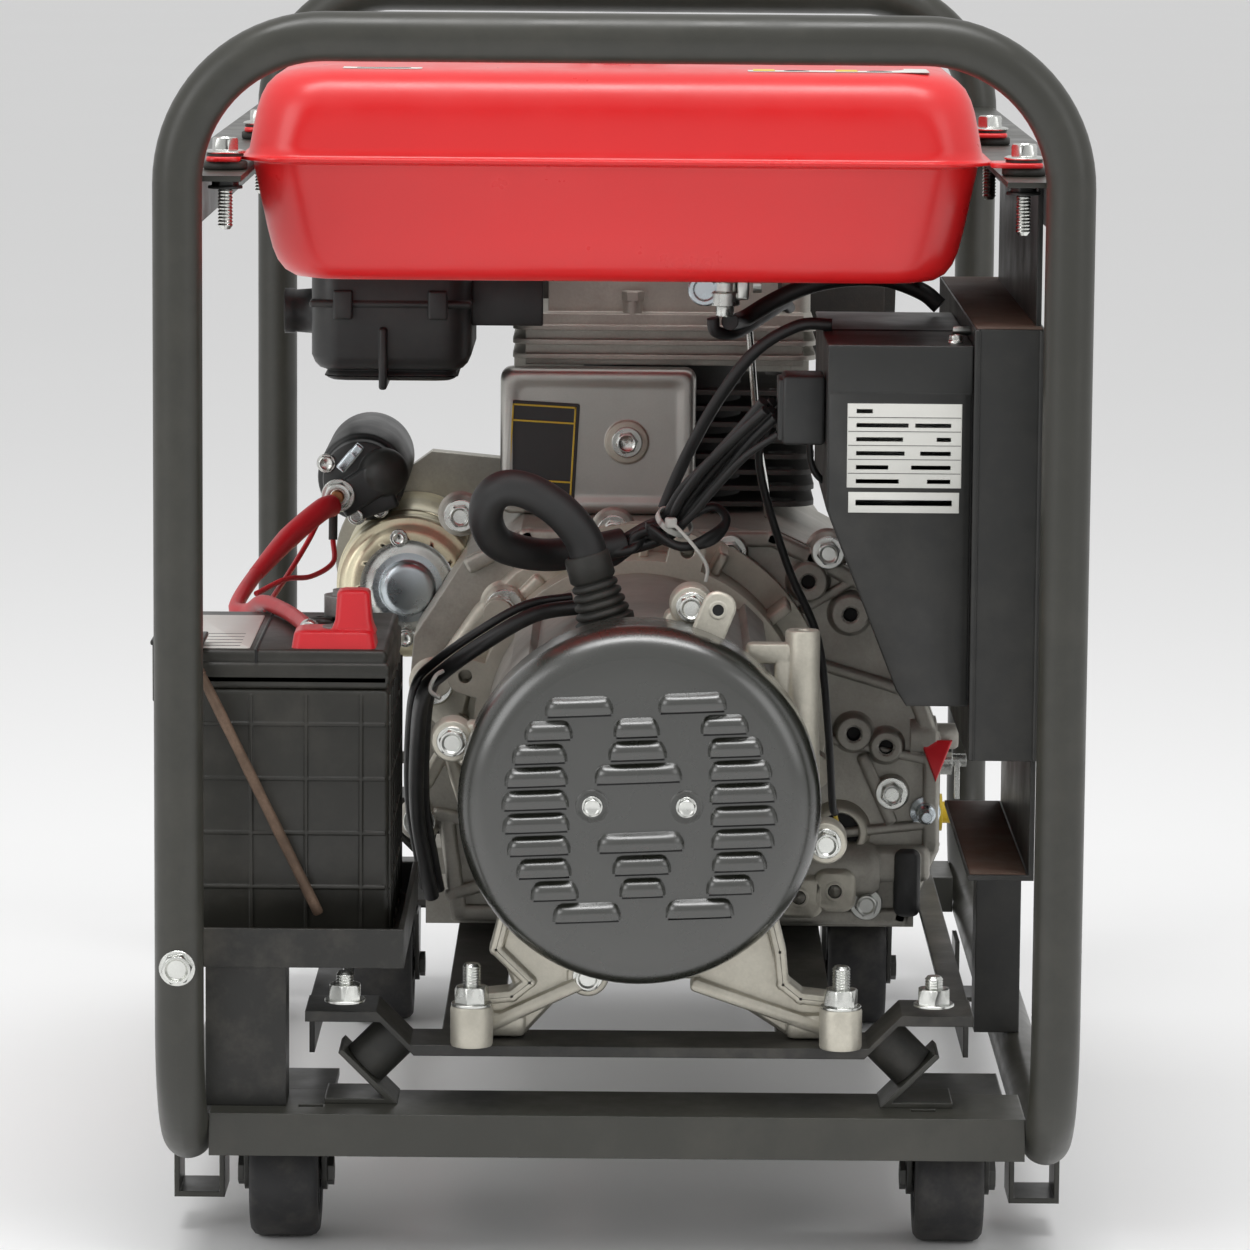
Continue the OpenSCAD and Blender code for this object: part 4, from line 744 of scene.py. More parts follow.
def add_harness():
    """Sleeve loop, loom of six cables tied together, and the thin leads."""
    p = Piece("harness_cables", "cable", "white", "hose", "yellow")
    p.of(2).tube(SLEEVE, 10.6, 20, 8, lambda t: 10.9 - 1.8 * t)
    p.use = 0
    across, above = Vector((0.75, 0.66, 0)), Vector((-0.38, 0.43, 0.8))
    for k, (a, b) in enumerate(OFFSETS):
        pts = []
        for i, q in enumerate(LOOM):
            drift = 1 + 0.25 * sin(1.7 * i + 2.1 * k)
            pts.append(Vector(q) + across * (a * drift) + above * (b * drift))
        tail = [Vector((4 - 4 * k, -262 + 3 * k, 392 - 3.5 * (k % 3))),
            Vector((-18 - 5 * k, -262 + 2 * k, 389 - 4 * (k % 3)))]
        p.tube(pts + tail[:1 if k % 2 else 2], 2.9, 12, 6)
    for k in range(3):
        loop = [(16, -268, 402 + 2 * k), (34, -272 - 2 * k, 396), (52, -270, 399 + 2 * k),
            (60, -262 + 2 * k, 410), (52, -256, 417), (34, -258, 410), (14, -262, 404 + k)]
        p.tube(loop, 2.6, 12, 6)
    p.tube(BOX_CABLE, 3.6, 12, 6)
    p.tube("88 -318 466, 70 -306 452, 52 -288 430, 38 -276 412, 20 -268 398", 2.2, 10, 6)
    p.tube(SENSOR, 2.4, 10, 6)
    p.of(3).tube([(130, -112, 214), (131, -111, 209), (133, -110, 204)], 1.3, 8, 4)
    p.of(0).tube("106 -300 461, 107 -292 448, 112 -286 438, 122 -280 432", 2, 10, 6)
    # white tie round the loom, with its long tail
    p.use = 1
    centre = Vector((30, -265, 409))
    axis = Vector((-0.46, 0.42, -0.78)).normalized()
    u = axis.orthogonal().normalized()
    v = axis.cross(u)
    rings = []
    for i in range(33):
        a = 2 * pi * i / 32
        c = centre + u * (10.4 * cos(a)) + v * (10.4 * sin(a))
        out = (u * cos(a) + v * sin(a))
        rings.append([c + axis * s + out * t for s, t in rect(-1.8, 0, 1.8, 1.1)])
    p.faces(rings)
    p.box(up(28, -277, 410, 20), (-3, -2.5, -3), (3, 2.5, 3), 0.8)
    p.tube("30 -278 409, 38 -281 401, 46 -283 391, 49 -284 384, 48 -284 377", 1.2, 6, 6)
    p.done("harness", 60)


EARTH = table("-24 -250 357.5, -50 -260 354, -78 -260 338, -103 -245 318, -116 -200 298, "
    "-122 -140 260, -124 -90 210, -119 -68 170, -116 -56 150")
PLUS = table("-178 -300.4 349.6, -184 -270 350, -196 -224 350, -212 -180 349, -222 -150 340, "
    "-232 -120 338, -224 -60 350, -206 -20 368, -188 2 382, -180.5 14 385.5")
MINUS = table("-161 -198 352, -161 -184 351, -158 -166 330, -152 -136 290, -146 -100 252, "
    "-142 -56 236, -136.5 -14 230")


def add_leads():
    """Black earth leads, and the red lead with its two thin branches."""
    p = Piece("battery_leads", "cable", "cable_red", "zinc", "white", "rubber")
    p.tube(EARTH, 4.6, 14, 7)
    p.tube([Vector(q) + Vector((-5.2, 4.6, 5)) for q in EARTH], 2.6, 10, 7)
    p.tube([Vector(q) + Vector((4.4, 8, 3)) for q in EARTH[3:]], 3.4, 10, 7)
    p.tube(MINUS, 4, 12, 7)
    p.of(1).tube(PLUS, 4.6, 14, 7)
    p.tube(PLUS[-4:-1] + [(-181.5, 13, 384)], 6.2, 14, 6, lambda t: 4.8 + 2.2 * min(1, 3 * t))
    p.tube("-181 22 376, -181 18 362, -180 0 350, -192 -30 345, -206 -60 347, -222 -90 342",
        1.7, 8, 6)
    p.tube("-188 20 378, -196 8 362, -206 -20 346, -212 -50 338, -216 -100 334", 1.7, 8, 6)
    p.of(4).tube([(-181, 22, 379), (-181, 20, 371), (-181, 18, 362)], 2.8, 10, 4)
    p.of(2).lathe(front(-178, -300.4 + 6, 349.6), [(5.8, 0), (5.8, 9), (4.6, 10)], 20, TOP)
    p.of(3).tube("-103 -256 320, -107 -262 318, -110 -264 310, -104 -268 306", 1.3, 6, 5)
    p.done("battery_cables", 60)


def add_hoses():
    """Fuel hose, the vent hose over the box, and the steel return pipe."""
    p = Piece("fuel_lines", "hose", "zinc")
    p.tube("52 -187 520, 54 -185 512, 66 -170 510, 84 -120 516, 96 -80 520, 100 -60 516",
        3.7, 14, 7)
    p.tube("62 -186 518, 70 -160 517, 88 -150 527, 110 -150 537, 134 -152 541.5, "
        "156 -154 541, 176 -158 534, 186 -160 526", 5.2, 16, 7)
    p.of(1).tube("76 -60 502, 79 -50 470, 83 -25 430, 88 0 400, 90 16 379.4", 2.2, 12, 7)
    p.done("fuel_hose", 60)


def add_solenoid():
    """Solenoid can, black terminal cap, rubber ball boot and copper stud."""
    lo, hi = span("solenoid")
    x, z = -164.5, 397.5
    p = Piece("solenoid_shell", "plastic", "rubber", "zinc", "copper", "machined")
    y0 = lo.y + 20
    p.lathe(front(x, y0 + 14, z), [(27.6, -(hi.y - y0 - 14)), (28, -(hi.y - y0 - 16)),
        (28, -2), (27.2, -0.4), (25.5, 0)], 56, BASE)
    p.lathe(front(x, y0 + 14, z), "25.5 0, 24.6 1, 24.4 9, 23.6 12, 20 13.4, 0.01 13.6", 56, OPEN)
    p.box(front(x, y0 + 1, z, 33), (-20, -15, -4), (12, 6, 10), 2)
    p.box(front(x - 2, y0 + 1, z - 9, 20), (-9, -16, -3), (22, -2, 6), 2)
    p.use = 1
    ball = front(x + 14, y0 + 2, z + 4)
    profile = [(14.6, -10), (15.6, -4)]
    for i in range(1, 13):
        a = radians(90 * i / 12)
        profile.append((15.8 * cos(a) + 0.01, 15.4 * sin(a)))
    p.lathe(ball, profile, 40, OPEN)
    p.of(2).bolt(front(-178.5, y0 - 8, 388.3, 12), 15.5, 6, 10.5, 0.2)
    p.lathe(front(-178.5, y0 + 6, 388.3), [(7, 0), (7, 14)], 24, OPEN)
    p.of(3).lathe(front(-178.5, y0 - 15.4, 388.3), "4.4 -2, 4.4 3.4, 3.6 4.6, 0.01 4.9", 24, OPEN)
    p.of(2).bolt(front(-167, y0 - 2, 375, 30), 8, 4, 6)
    p.bolt(front(x - 22, y0 + 2, z + 10, 0), 9, 3, 6)
    p.bolt(front(x + 12, y0 + 2, z - 19, 0), 8, 3, 5.4)
    p.of(4).box(front(x - 7, y0 - 9, z + 14, 50), (-9, -3.4, 0), (6, 3.4, 4.4), 1.2)
    p.box(front(x - 2, y0 - 11, z + 20, 50), (-4, -3, 0), (4, 3, 8), 1)
    p.done("solenoid", 45)


def add_terminal_boot():
    """Soft red cap with a flared skirt over the positive post."""
    lo, hi = span("terminal_boot")
    p = Piece("terminal_cap", "boot_red")
    x0, x1, y0, y1 = lo.x, hi.x, lo.y, hi.y

    def skin(x0, x1, y0, y1, rows):
        """Rows of an inset from each side, a height and a corner radius."""
        p.faces([[Vector((x, y, z)) for x, y in rounded(x0 + a, y0 + c, x1 - b, y1 - d, r, 5)]
                 for a, b, c, d, z, r in rows])

    foot, top = lo.z, hi.z - 22
    skin(x0, x1, y0, y1, [
        (0, 0, 0, 0, foot, 5), (0, 0, 0, 0, foot + 1.8, 5), (1.5, 1.5, 1.5, 1.5, foot + 3, 5),
        (3, 3, 3, 3, foot + 5, 5), (4.5, 4.5, 4, 4, top - 2.2, 5),
        (6, 6, 5.5, 5.5, top - 0.6, 4.5), (9, 8, 8, 8, top, 3)])
    skin(x0 + 27.5, x0 + 48, y0 + 10, y0 + 32, [
        (-5, -2.5, -2.5, -2.5, top - 2.5, 4), (-1.5, -1, -1, -1, top + 1.2, 4),
        (0, 0, 0, 0, top + 5, 4), (1, 1, 1, 1, hi.z - 2.2, 4), (2, 2, 2, 2, hi.z - 0.6, 3.5),
        (4.5, 4.5, 4.5, 4.5, hi.z, 2)])
    p.done("terminal_boot", 70)


add_boots()
add_harness()
add_leads()
add_hoses()
add_solenoid()
add_terminal_boot()


# ---- engine castings ----


def bar(p, place, a, b, wide, lo, hi, bevel):
    """A strip from a to b in the plane of place."""
    a, b = Vector(a), Vector(b)
    d = b - a
    turn = degrees(atan2(d.y, d.x))
    at = place @ up(a.x, a.y, 0, turn)
    p.box(at, (-wide / 2, -wide / 2, lo), (d.length + wide / 2, wide / 2, hi), bevel)


def boss(p, place, r, h, bore=0, flare=3):
    """A turned boss with a flared root, and a tapped hole lined with near-black painted shade if
    bore is given.
    """
    profile = [(r + flare, -0.4), (r + flare * 0.45, 0.7), (r + 0.3, 2.2), (r, h - 1.2),
        (r - 1.2, h)]
    if bore:
        profile += [(bore + 1.2, h), (bore, h - 1.2)]
        p.lathe(place, profile, 36, OPEN)
        keep = p.use
        # painted shade: a near-black cone lines the bottom of the tapped hole
        p.of(2).lathe(place, [(bore, h - 1.2), (bore * 0.86, h - 5), (0.01, h - 5.2)], 24, OPEN)
        p.use = keep
    else:
        p.lathe(place, profile + [(0.01, h)], 36, OPEN)


CASE = table("-104 134.3, 178 134.3, 184 150, 197 180, 197 250, 182 290, 160 345, 120 366, "
    "95 378, -62 378, -96 360, -128 310, -132 260, -112 190")


def add_crankcase():
    """Border, ribs, bosses, bolts, filler port and drain on the face of the crankcase."""
    y = span("crankcase")[0].y
    face = front(0, y, 0)
    p = Piece("crankcase_details", "alloy_dark", "zinc", "dark", "alloy", "boot_red", "plastic",
        "machined")
    n = len(CASE)
    mid = Vector((30, 255))
    inset = [Vector(q) + (mid - Vector(q)).normalized() * 6 for q in CASE]
    for i in range(n):
        if i in (10, 11, 12):
            continue
        bar(p, face, inset[i], inset[(i + 1) % n], 10, -2, 5.5, 2.4)
    for a, b, w, h in (((106, 300), (186, 276), 7, 6), ((98, 186), (190, 196), 6, 5),
            ((112, 330), (150, 352), 6, 5), ((122, 250), (190, 236), 6, 5),
            ((150, 236), (166, 200), 8, 7), ((88, 170), (180, 172), 22, 12),
            ((-60, 190), (-112, 200), 8, 6), ((-70, 160), (-104, 150), 8, 6),
            ((40, 372), (70, 340), 7, 6), ((-30, 374), (-50, 345), 7, 6)):
        bar(p, face, a, b, w, -2, h, min(w, h) * 0.36)
    for x, z, r in ((114, 347, 12), (140, 327, 12), (143, 253, 11), (163, 245, 10)):
        boss(p, front(x, y, z), r, 9, 4.4)
    for x, z in ((66, 367), (126, 367), (167, 218), (-124, 198), (-5.8, 379), (-99.5, 388)):
        p.use = 0
        boss(p, front(x, y + 4, z - 2), 11, 10)
        p.of(1).bolt(front(x, y - 6, z - 2, 11 * (x % 5)), 12.5, 6.5, 10, 1.2)
    for x, z in ((85, 246), (82, 214), (86, 196)):
        p.use = 3
        boss(p, front(x + 8, y - 8, z), 8, 22)
        p.of(1).bolt(front(x + 8, y - 30, z, 20), 9, 4.5, 6.5, 0.8)
    # open filler port, with a near-black disc inside as painted shade
    p.of(3).lathe(front(163 - 28, y, 191), "21 -2, 18 3, 16.5 8, 15.4 9, 13 9, 12.4 8, 12.2 -2",
        48, OPEN)
    p.of(2).lathe(front(163 - 28, y, 191), [(12.2, 2), (0.01, 1.5)], 40, OPEN)
    # oil gallery, lugs with tapped holes drawn as near-black discs of painted shade, black cap
    p.of(0).lathe(side(96, y - 4, 168), "15 0, 17 4, 17 56, 15.5 60, 13 64", 40)
    p.use = 3
    for x, z, w in ((110, 154, 15), (132, 158, 13)):
        p.plate(front(x, y - 17, z), rounded(-w, -13, w, 13, 8, 6), -4, 10, 2.2)
        p.of(2).lathe(front(x, y - 27.2, z), [(4.3, 0), (3.8, -0.2), (0.01, -0.3)], 24, OPEN)
        p.of(3).lathe(front(x, y - 26.8, z), [(6.2, -0.5), (5.6, 0.6), (4.3, 0.6)], 28, OPEN)
    p.of(1).bolt(front(152, y - 8, 147, 14), 12.5, 6.5, 10, 1.2)
    p.of(5).plate(front(177, y - 6, 161), rounded(-8, -21, 8, 21, 5, 5), -6, 9, 2.2)
    # stop knob with a red wedge
    p.of(0).lathe(side(184, y + 6, 250), "13 -6, 13.5 4, 12.5 10, 8 11, 8 22, 6.5 24", 36)
    p.of(4).plate(front(194, y - 4, 238), [(-10, 11), (0, -15), (10, 11)], -1.5, 2.5, 0.8)
    p.of(6).lathe(front(188, y - 2, 204), "9.5 0, 9.5 2, 6 3, 6 12, 4.5 13, 4.5 22, 3.2 23.4", 30,
        TOP)
    p.done(None, 45)


def add_adapter():
    """Ribs and bolted ears of the casting between engine and alternator."""
    x, y, z = SHAFT_X, span("adapter_bracket")[1].y - 14, SHAFT_Z
    p = Piece("adapter_details", "alloy", "zinc", "dark")
    for k in range(14):
        a = radians(12 + k * 360 / 14)
        at = front(x, y, z, degrees(a))
        p.box(at, (99, -3.2, -1), (114.5, 3.2, 34), 1.6)
    # long ears that reach up the left side to the starter
    ear = table("-36 371, -66 356, -90 332, -108 306, -124 290, -127 276, -115 262, -103 250, "
        "-96 262, -90 285, -78 306, -60 326, -40 344, -24 352")
    p.plate(front(0, y - 10, 0), ear, -10, 5, 2.6)
    for px, pz in ((-71.3, 333.8), (-114.4, 285.9)):
        p.use = 0
        boss(p, front(px, y - 12, pz), 12.5, 14)
        p.of(1).bolt(front(px, y - 26, pz, 8), 13, 7.5, 11.5, 1.3)
    p.use = 0
    for a, b in (((-98, 262), (-118, 226)), ((-104, 240), (-90, 196)), ((-52, 348), (-70, 330))):
        bar(p, front(0, y - 12, 0), a, b, 9, -6, 7, 2.6)
    p.done(None, 45)


def add_end_bracket():
    """Ribbed arch with two feet, four bolt lugs, a vertical boss and a drilled tab."""
    lo, hi = span("rear_bracket")
    x, y, z = SHAFT_X, hi.y - 24, SHAFT_Z
    foot = lo.z
    left, right = -82, 125
    p = Piece("end_bracket", "alloy", "zinc", "dark")
    ring_y = front(x, y, z)
    p.lathe(ring_y, "97 -24, 97 -1.5, 95.5 0, 88 0, 86.5 -1.5, 84 -8, 76 -9, 76 -24", 96, OPEN)
    for a in range(0, 360, 60):
        at = front(x, y, z, a + 30)
        p.box(at, (24, -8, -20), (86, 8, -3), 3)
    p.lathe(ring_y, "38 -24, 38 -2, 36.5 0, 27 0, 26 -1, 26 -24", 64, OPEN)
    web = [(left - 6, foot + 2), (left + 30, foot + 2), (x - 34, z - 107), (x + 34, z - 107),
        (right - 30, foot + 2), (right + 6, foot + 2), (right - 4, foot + 18),
        (right - 24, foot + 26), (x + 78, z - 92), (x + 70, z - 62), (x - 70, z - 62),
        (x - 78, z - 92), (left + 24, foot + 26), (left + 4, foot + 18)]
    p.plate(front(0, y, 0), web, -19, -7, 2)
    for s, f in ((-1, left), (1, right)):
        inner = f - s * 30
        bar(p, front(0, y, 0), (f - s * 6, foot + 5.5), (x + s * 34, z - 110), 8, -23, -1, 2.6)
        curve = [(f - s * 4, foot + 22), (f - s * 22, foot + 24), (f - s * 32, foot + 32),
            (x + s * 80, z - 90), (x + s * 74, z - 66)]
        for a, b in zip(curve, curve[1:]):
            bar(p, front(0, y, 0), a, b, 7, -23, -1, 2.6)
        p.box(FLAT, (min(f, inner), y + 2, foot), (max(f, inner), y + 23, foot + 15), 4)
        profile = table("11.5 0.3, 12 1.4, 12 21.6, 11.4 23, 9 23, 5.2 23, 5.2 20")
        p.lathe(up(f, FOOT_Y, foot), profile, 40, OPEN)
        p.box(FLAT, (f - 10, -380, foot + 0.3), (f + 10, y + 20, foot + 19), 4)
    for a in (75, 165, -15, -105):
        at = ring_y @ spin(a)
        p.box(at, (84, -13, -24), (104, 13, -7), 4)
        d = at @ Matrix.Translation((109, 0, -24))
        p.lathe(d, "12 0.2, 12.3 1, 12 17, 11 18.6, 8.5 19", 40)
        p.of(1).bolt(d @ Matrix.Translation((0, 0, 19)), 13, 7, 8.6, 1.2)
        p.use = 0
    tab = front(54, y - 12, 373, -22)
    p.plate(tab, rounded(-9.5, -30, 9.5, 10, 8, 6), -6, 0, 1.4)
    # painted shade: a near-black disc on the tab stands in for the drilled hole
    p.of(2).lathe(tab, [(3.4, 0.05), (0.01, 0.02)], 24, OPEN)
    p.of(0).lathe(tab, "5.2 -0.2, 4.8 0.5, 3.4 0.4, 3.2 0", 28, OPEN)
    p.lathe(up(102, y + 12, 264), "11.5 -10, 10.6 10, 9.8 40, 9.8 93.8, 9 95, 4.6 95, 4 94, 4 80",
        44, OPEN)
    p.box(FLAT, (70, y + 6, 340), (100, y + 17, 352), 3)
    p.box(FLAT, (86, y + 6, 290), (100, y + 17, 345), 3)
    p.done("rear_bracket", 40)


def add_fasteners():
    """Studs, nuts and bolts of the frame, the cradle and the tank."""
    p = Piece("bolts_and_nuts", "zinc", "plastic", "yellow_zinc", "rubber")
    tank_low, tank_high = span("fuel_tank")
    seam = tank_low.z + SEAM_UP
    for y in (tank_low.y + 18, tank_high.y - 50):
        for s in (-1, 1):
            x = tank_high.x - 10 if s > 0 else tank_low.x + 10
            p.of(0).lathe(up(x, y, seam + 3), "5 0, 11 0, 11.3 0.8, 10.6 1.4, 9.4 1.8", 32, TOP)
            p.bolt(up(x, y, seam + 4.6, 13 * s), 13, 7, 0, 1.4)
            turns = [(4.4, 0)]
            for i in range(15):
                turns += [(3.5, -i * 1.9 - 0.2), (4.2, -i * 1.9 - 1.1)]
            turns.append((2.6, -30))
            p.lathe(up(x, y, seam - 9.2), turns, 18, TOP)
            p.of(1).bolt(up(x, y, seam - 16.6, 9), 13, 6.6, 9.6, 0.2)
    p.use = 0
    for x in (-82, 125):
        p.nut(up(x, FOOT_Y, 149.4, 17), 5.2, 9.5, 13, 11.5)
        p.lathe(up(x, FOOT_Y, 149.2), [(9, 0), (9.6, 0.6), (9, 1.9)], 30, TOP)
    for x in (12 - 165, 12 + 165):
        z = 151.1
        p.nut(up(x, FOOT_Y, z, 30), 5.2, 8.6, 6, 11.5)
    lo = span("near_hoop")[0]
    p.bolt(front(-241.5, lo.y - 0.2, 183, 8), 15, 5.2, 10, 2)
    p.done("fasteners", 40)


add_crankcase()
add_adapter()
add_end_bracket()
add_fasteners()


# ---- control box, panel and small parts ----


def add_box_details():
    """Folded edges, blank ruled labels and screws on the control box and panel."""
    lo, hi = span("control_box")
    pan_low, pan_high = span("control_panel")
    p = Piece("box_details", "panel", "label", "ink", "zinc", "primer", "dark")
    y = lo.y
    face = front(0, y, 0)
    p.plate(face, [(lo.x + 0.6, 428), (lo.x + 40, 327), (lo.x + 46, 318.5),
        (hi.x - 0.8, 318.5), (hi.x - 0.8, hi.z - 26), (lo.x + 0.6, hi.z - 26)], -0.4, 1.2,
        0.7)
    p.box(face, (lo.x, hi.z - 27, -0.6), (hi.x, hi.z - 0.3, 0.7), 0.6)
    p.box(FLAT, (lo.x - 0.6, y - 0.6, hi.z - 1.2), (hi.x, hi.y, hi.z + 0.5), 0.7)
    p.box(FLAT, (lo.x + 4, y + 92, hi.z), (hi.x - 2, y + 99, hi.z + 1.2), 0.5)
    x0 = lo.x + 11
    p.of(1).plate(face, rect(x0, 441, hi.x - 6, 488), 1, 1.5, 0.1)
    p.plate(face, rect(x0 + 1, 427, hi.x - 7, 438.5), 1, 1.5, 0.1)
    p.use = 2
    for i in range(1, 6):
        z = 441 + i * 47 / 6
        p.plate(face, rect(x0 + 0.5, z, hi.x - 6.5, z + 0.35), 1.45, 1.6, 0.02)
    for i in range(6):
        z = 443.4 + i * 47 / 6
        wide = (24, 18, 27, 26, 29, 9)[i]
        a = x0 + 5
        p.plate(face, rect(a, z, a + wide, z + 2.4), 1.42, 1.5, 0.02)
        b = hi.x - 12
        wide = (13, 22, 17, 8, 20, 0)[i]
        if wide:
            p.plate(face, rect(b - wide, z, b, z + 2.4), 1.42, 1.5, 0.02)
    p.plate(face, rect(x0 + 5, 431, hi.x - 11, 434.2), 1.42, 1.5, 0.02)
    p.of(3).lathe(side(hi.x - 10, y + 34, hi.z + 6), [(2.6, 0), (2.6, 9), (1.8, 10)], 20)
    p.bolt(up(hi.x - 9, y + 20, hi.z + 0.4), 7, 3, 4.5)
    p.of(4).plate(FLAT, rect(pan_low.x + 1, pan_low.y + 2, pan_high.x - 9, pan_high.y - 4), 530.02,
        530.5, 0.1)
    p.plate(FLAT, rect(pan_low.x + 3, pan_low.y + 18, pan_low.x + 35, pan_high.y - 114), 220.02,
        220.5, 0.1)
    # rolled front edges of the tall panel
    p.use = 0
    fx0, fx1 = pan_low.x, pan_low.x + 39
    for x in (fx0 + 1.6, fx1 - 1.6):
        p.box(front(0, pan_low.y, 0), (x - 1.8, 288, -3), (x + 1.8, 530, 0.9), 0.8)
    p.done(None, 45)


def add_filter():
    """Moulded air cleaner with round corners, fin, snout and elbow."""
    p = Piece("air_cleaner", "plastic", "dark")
    for z0, z1, inset in ((473, 539, 0), (466, 475, 8)):
        rings = []
        for dz, e in ((0, 9), (1.4, 5), (4.5, 2), (9, 0)):
            rings.append((z0 + dz if z1 - z0 > 20 else z0 + dz * 0.4, e + inset))
        rings.append((z1 - 6, inset))
        rings.append((z1 - 1.5, inset + 2))
        rings.append((z1, inset + 5))
        p.faces([[Vector((a, b, z)) for a, b in rounded(-192 + e, -40 + e, -94 - e, 110 - e,
            max(18 - e, 6), 8)] for z, e in rings])
    p.box(FLAT, (-192.6, -40.8, 512), (-93.2, 110.6, 516.5), 1.6)
    p.box(FLAT, (-150, -44, 462), (-145, 60, 500), 1.6)
    p.lathe(Matrix.Translation((-190, 20, 505)) @ Matrix.Rotation(pi, 4, "Z") @ side(0, 0, 0),
        table("16 0, 14 3, 13.2 14, 14 15, 14 21, 11.5 21, 11 4"), 40, TOP)
    p.tube("-96 85 505, -86 85 505, -78 85 505, -70.6 85 505", 14, 24, 5)
    p.box(FLAT, (-94, -20, 500), (-50, -16, 530), 1)
    p.box(FLAT, (-94, -17, 525), (-80, 60, 530), 1)
    for x in (-172, -114):
        p.box(front(x, -40.6, 514), (-6, -9, 0), (6, 9, 3.2), 1.3)
    p.done("air_filter", 45)


def add_small_parts():
    """Threaded hold-down rod across the battery, with its hook plate and nut."""
    lo, hi = span("battery_clamp")
    top = span("battery_lid")[1].z
    near = span("battery_case")[0].y - 7
    p = Piece("hold_down_rod", "dull_steel", "zinc", "cradle")
    foot = Vector((lo.x + 94.5, near, top - 149.3))
    axis = Matrix.Translation(foot) @ spin(-25.9, "Y")
    profile = [(2.2, 0.2), (3, 1.2)]
    profile += [(3 + 0.12 * sin(i * 1.3), 6 + i * 7.6) for i in range(19)]
    for i in range(28):
        profile += [(2.5, 151 + i * 1.7), (3, 151.8 + i * 1.7)]
    profile += [(2.1, 198.6)]
    p.lathe(axis, profile, 18)
    p.of(1).bolt(axis @ Matrix.Translation((0, 0, 174.6)), 10, 6, 7.4, 0.2)
    p.of(2).box(FLAT, (lo.x, near - 5, top + 4), (lo.x + 30, near + 33, top + 7), 1)
    p.box(FLAT, (lo.x, near + 9, top - 30), (lo.x + 3, near + 33, top + 5), 1)
    p.box(FLAT, (lo.x, near + 9, top + 0.4), (lo.x + 27, near + 33, top + 3.4), 1)
    p.done("battery_clamp", 50)


def add_tap():
    """Turned tap body under the tank with its union nut and banjo."""
    lo, hi = span("fuel_tap")
    cx, cy = 59, -187
    p = Piece("tap_body", "zinc", "yellow_zinc", "machined")
    p.of(1).lathe(up(cx, cy, hi.z - 6), "15 0, 16.5 1, 16.5 4.5, 15 5.8", 40)
    p.of(0).lathe(up(cx, cy, lo.z + 6), [(5, -6), (5.4, -5), (5.4, 0), (8.6, 0.6), (8.6, 8),
        (7, 9), (7, 14), (10.5, 15), (10.5, hi.z - lo.z - 12)], 32)
    p.bolt(up(cx, cy, lo.z + 1), 9, 5, 0, 0.5)
    p.of(1).bolt(up(cx, cy, lo.z + 6.4), 14, 6.4, 0, 0.2)
    p.of(2).lathe(front(cx - 12, cy - 3, lo.z + 16), "9.4 -12, 9.8 -10, 9.8 1, 9 2, 6.6 2, "
        "6.2 1, 0.01 1", 36, BASE)
    p.of(0).box(FLAT, (cx + 7, cy - 6, lo.z + 10), (cx + 14, cy + 6, hi.z - 6), 1.5)
    p.done("fuel_tap", 45)


add_box_details()
add_filter()
add_small_parts()
add_tap()


# ---- panel face, wheels and the far end ----


def add_panel_face():
    """Rim and screws of the panel, the ring of the dial and its knob."""
    pan_low, pan_high = span("control_panel")
    x = pan_low.x + 39
    p = Piece("panel_face", "panel", "zinc", "label", "ink")
    face = side(x, 0, 0)
    y0, y1 = pan_low.y, pan_high.y
    z0, z1 = 288, 530
    for a, b, c, d in ((y0, z0, y1, z0 + 5), (y0, z1 - 5, y1, z1), (y0, z0, y0 + 5, z1),
            (y1 - 5, z0, y1, z1)):
        p.box(face, (a, b, -1.5), (c, d, 0.8), 0.7)
    p.use = 1
    for y in (y0 + 10, (y0 + y1) / 2, y1 - 10):
        for z in (z0 + 10, z1 - 10):
            p.lathe(side(x, y, z), "4.6 0, 4.6 0.8, 3.6 1.9, 0.01 2.3", 24, OPEN)
    # ruled ring of the current dial, numbers left out
    knob = span("current_knob")
    ky, kz = (knob[0].y + knob[1].y) / 2, (knob[0].z + knob[1].z) / 2
    p.of(2).lathe(side(x, ky, kz), "21 0.1, 21 0.5, 31 0.5, 31 0.1", 60, OPEN)
    p.use = 3
    for i in range(11):
        a = radians(-45 + 27 * i)
        at = side(x, ky, kz) @ Matrix.Rotation(a, 4, "Z")
        p.box(at, (23, -0.5, 0.4), (29, 0.5, 0.8), 0.1)
    p.done(None, 45)
    p = Piece("knob_grip", "plastic", "white")
    at = side(0, ky, kz)
    deep = knob[1].x - knob[0].x
    r = (knob[1].z - knob[0].z) / 2
    p.faces([circle(at, lambda a: r * k * (1 - 0.05 * (2 < h < deep and cos(a * 12) > 0.2)),
        knob[0].x + h, 96) for k, h in ((1, 0), (1, 2), (0.92, 3), (0.86, deep - 3),
        (0.8, deep - 1), (0.6, deep))])
    p.of(1).box(at, (r * 0.15, -0.8, knob[1].x - 0.6), (r * 0.62, 0.8, knob[1].x + 0.25), 0.2)
    p.done("current_knob", 40, "current_knob")


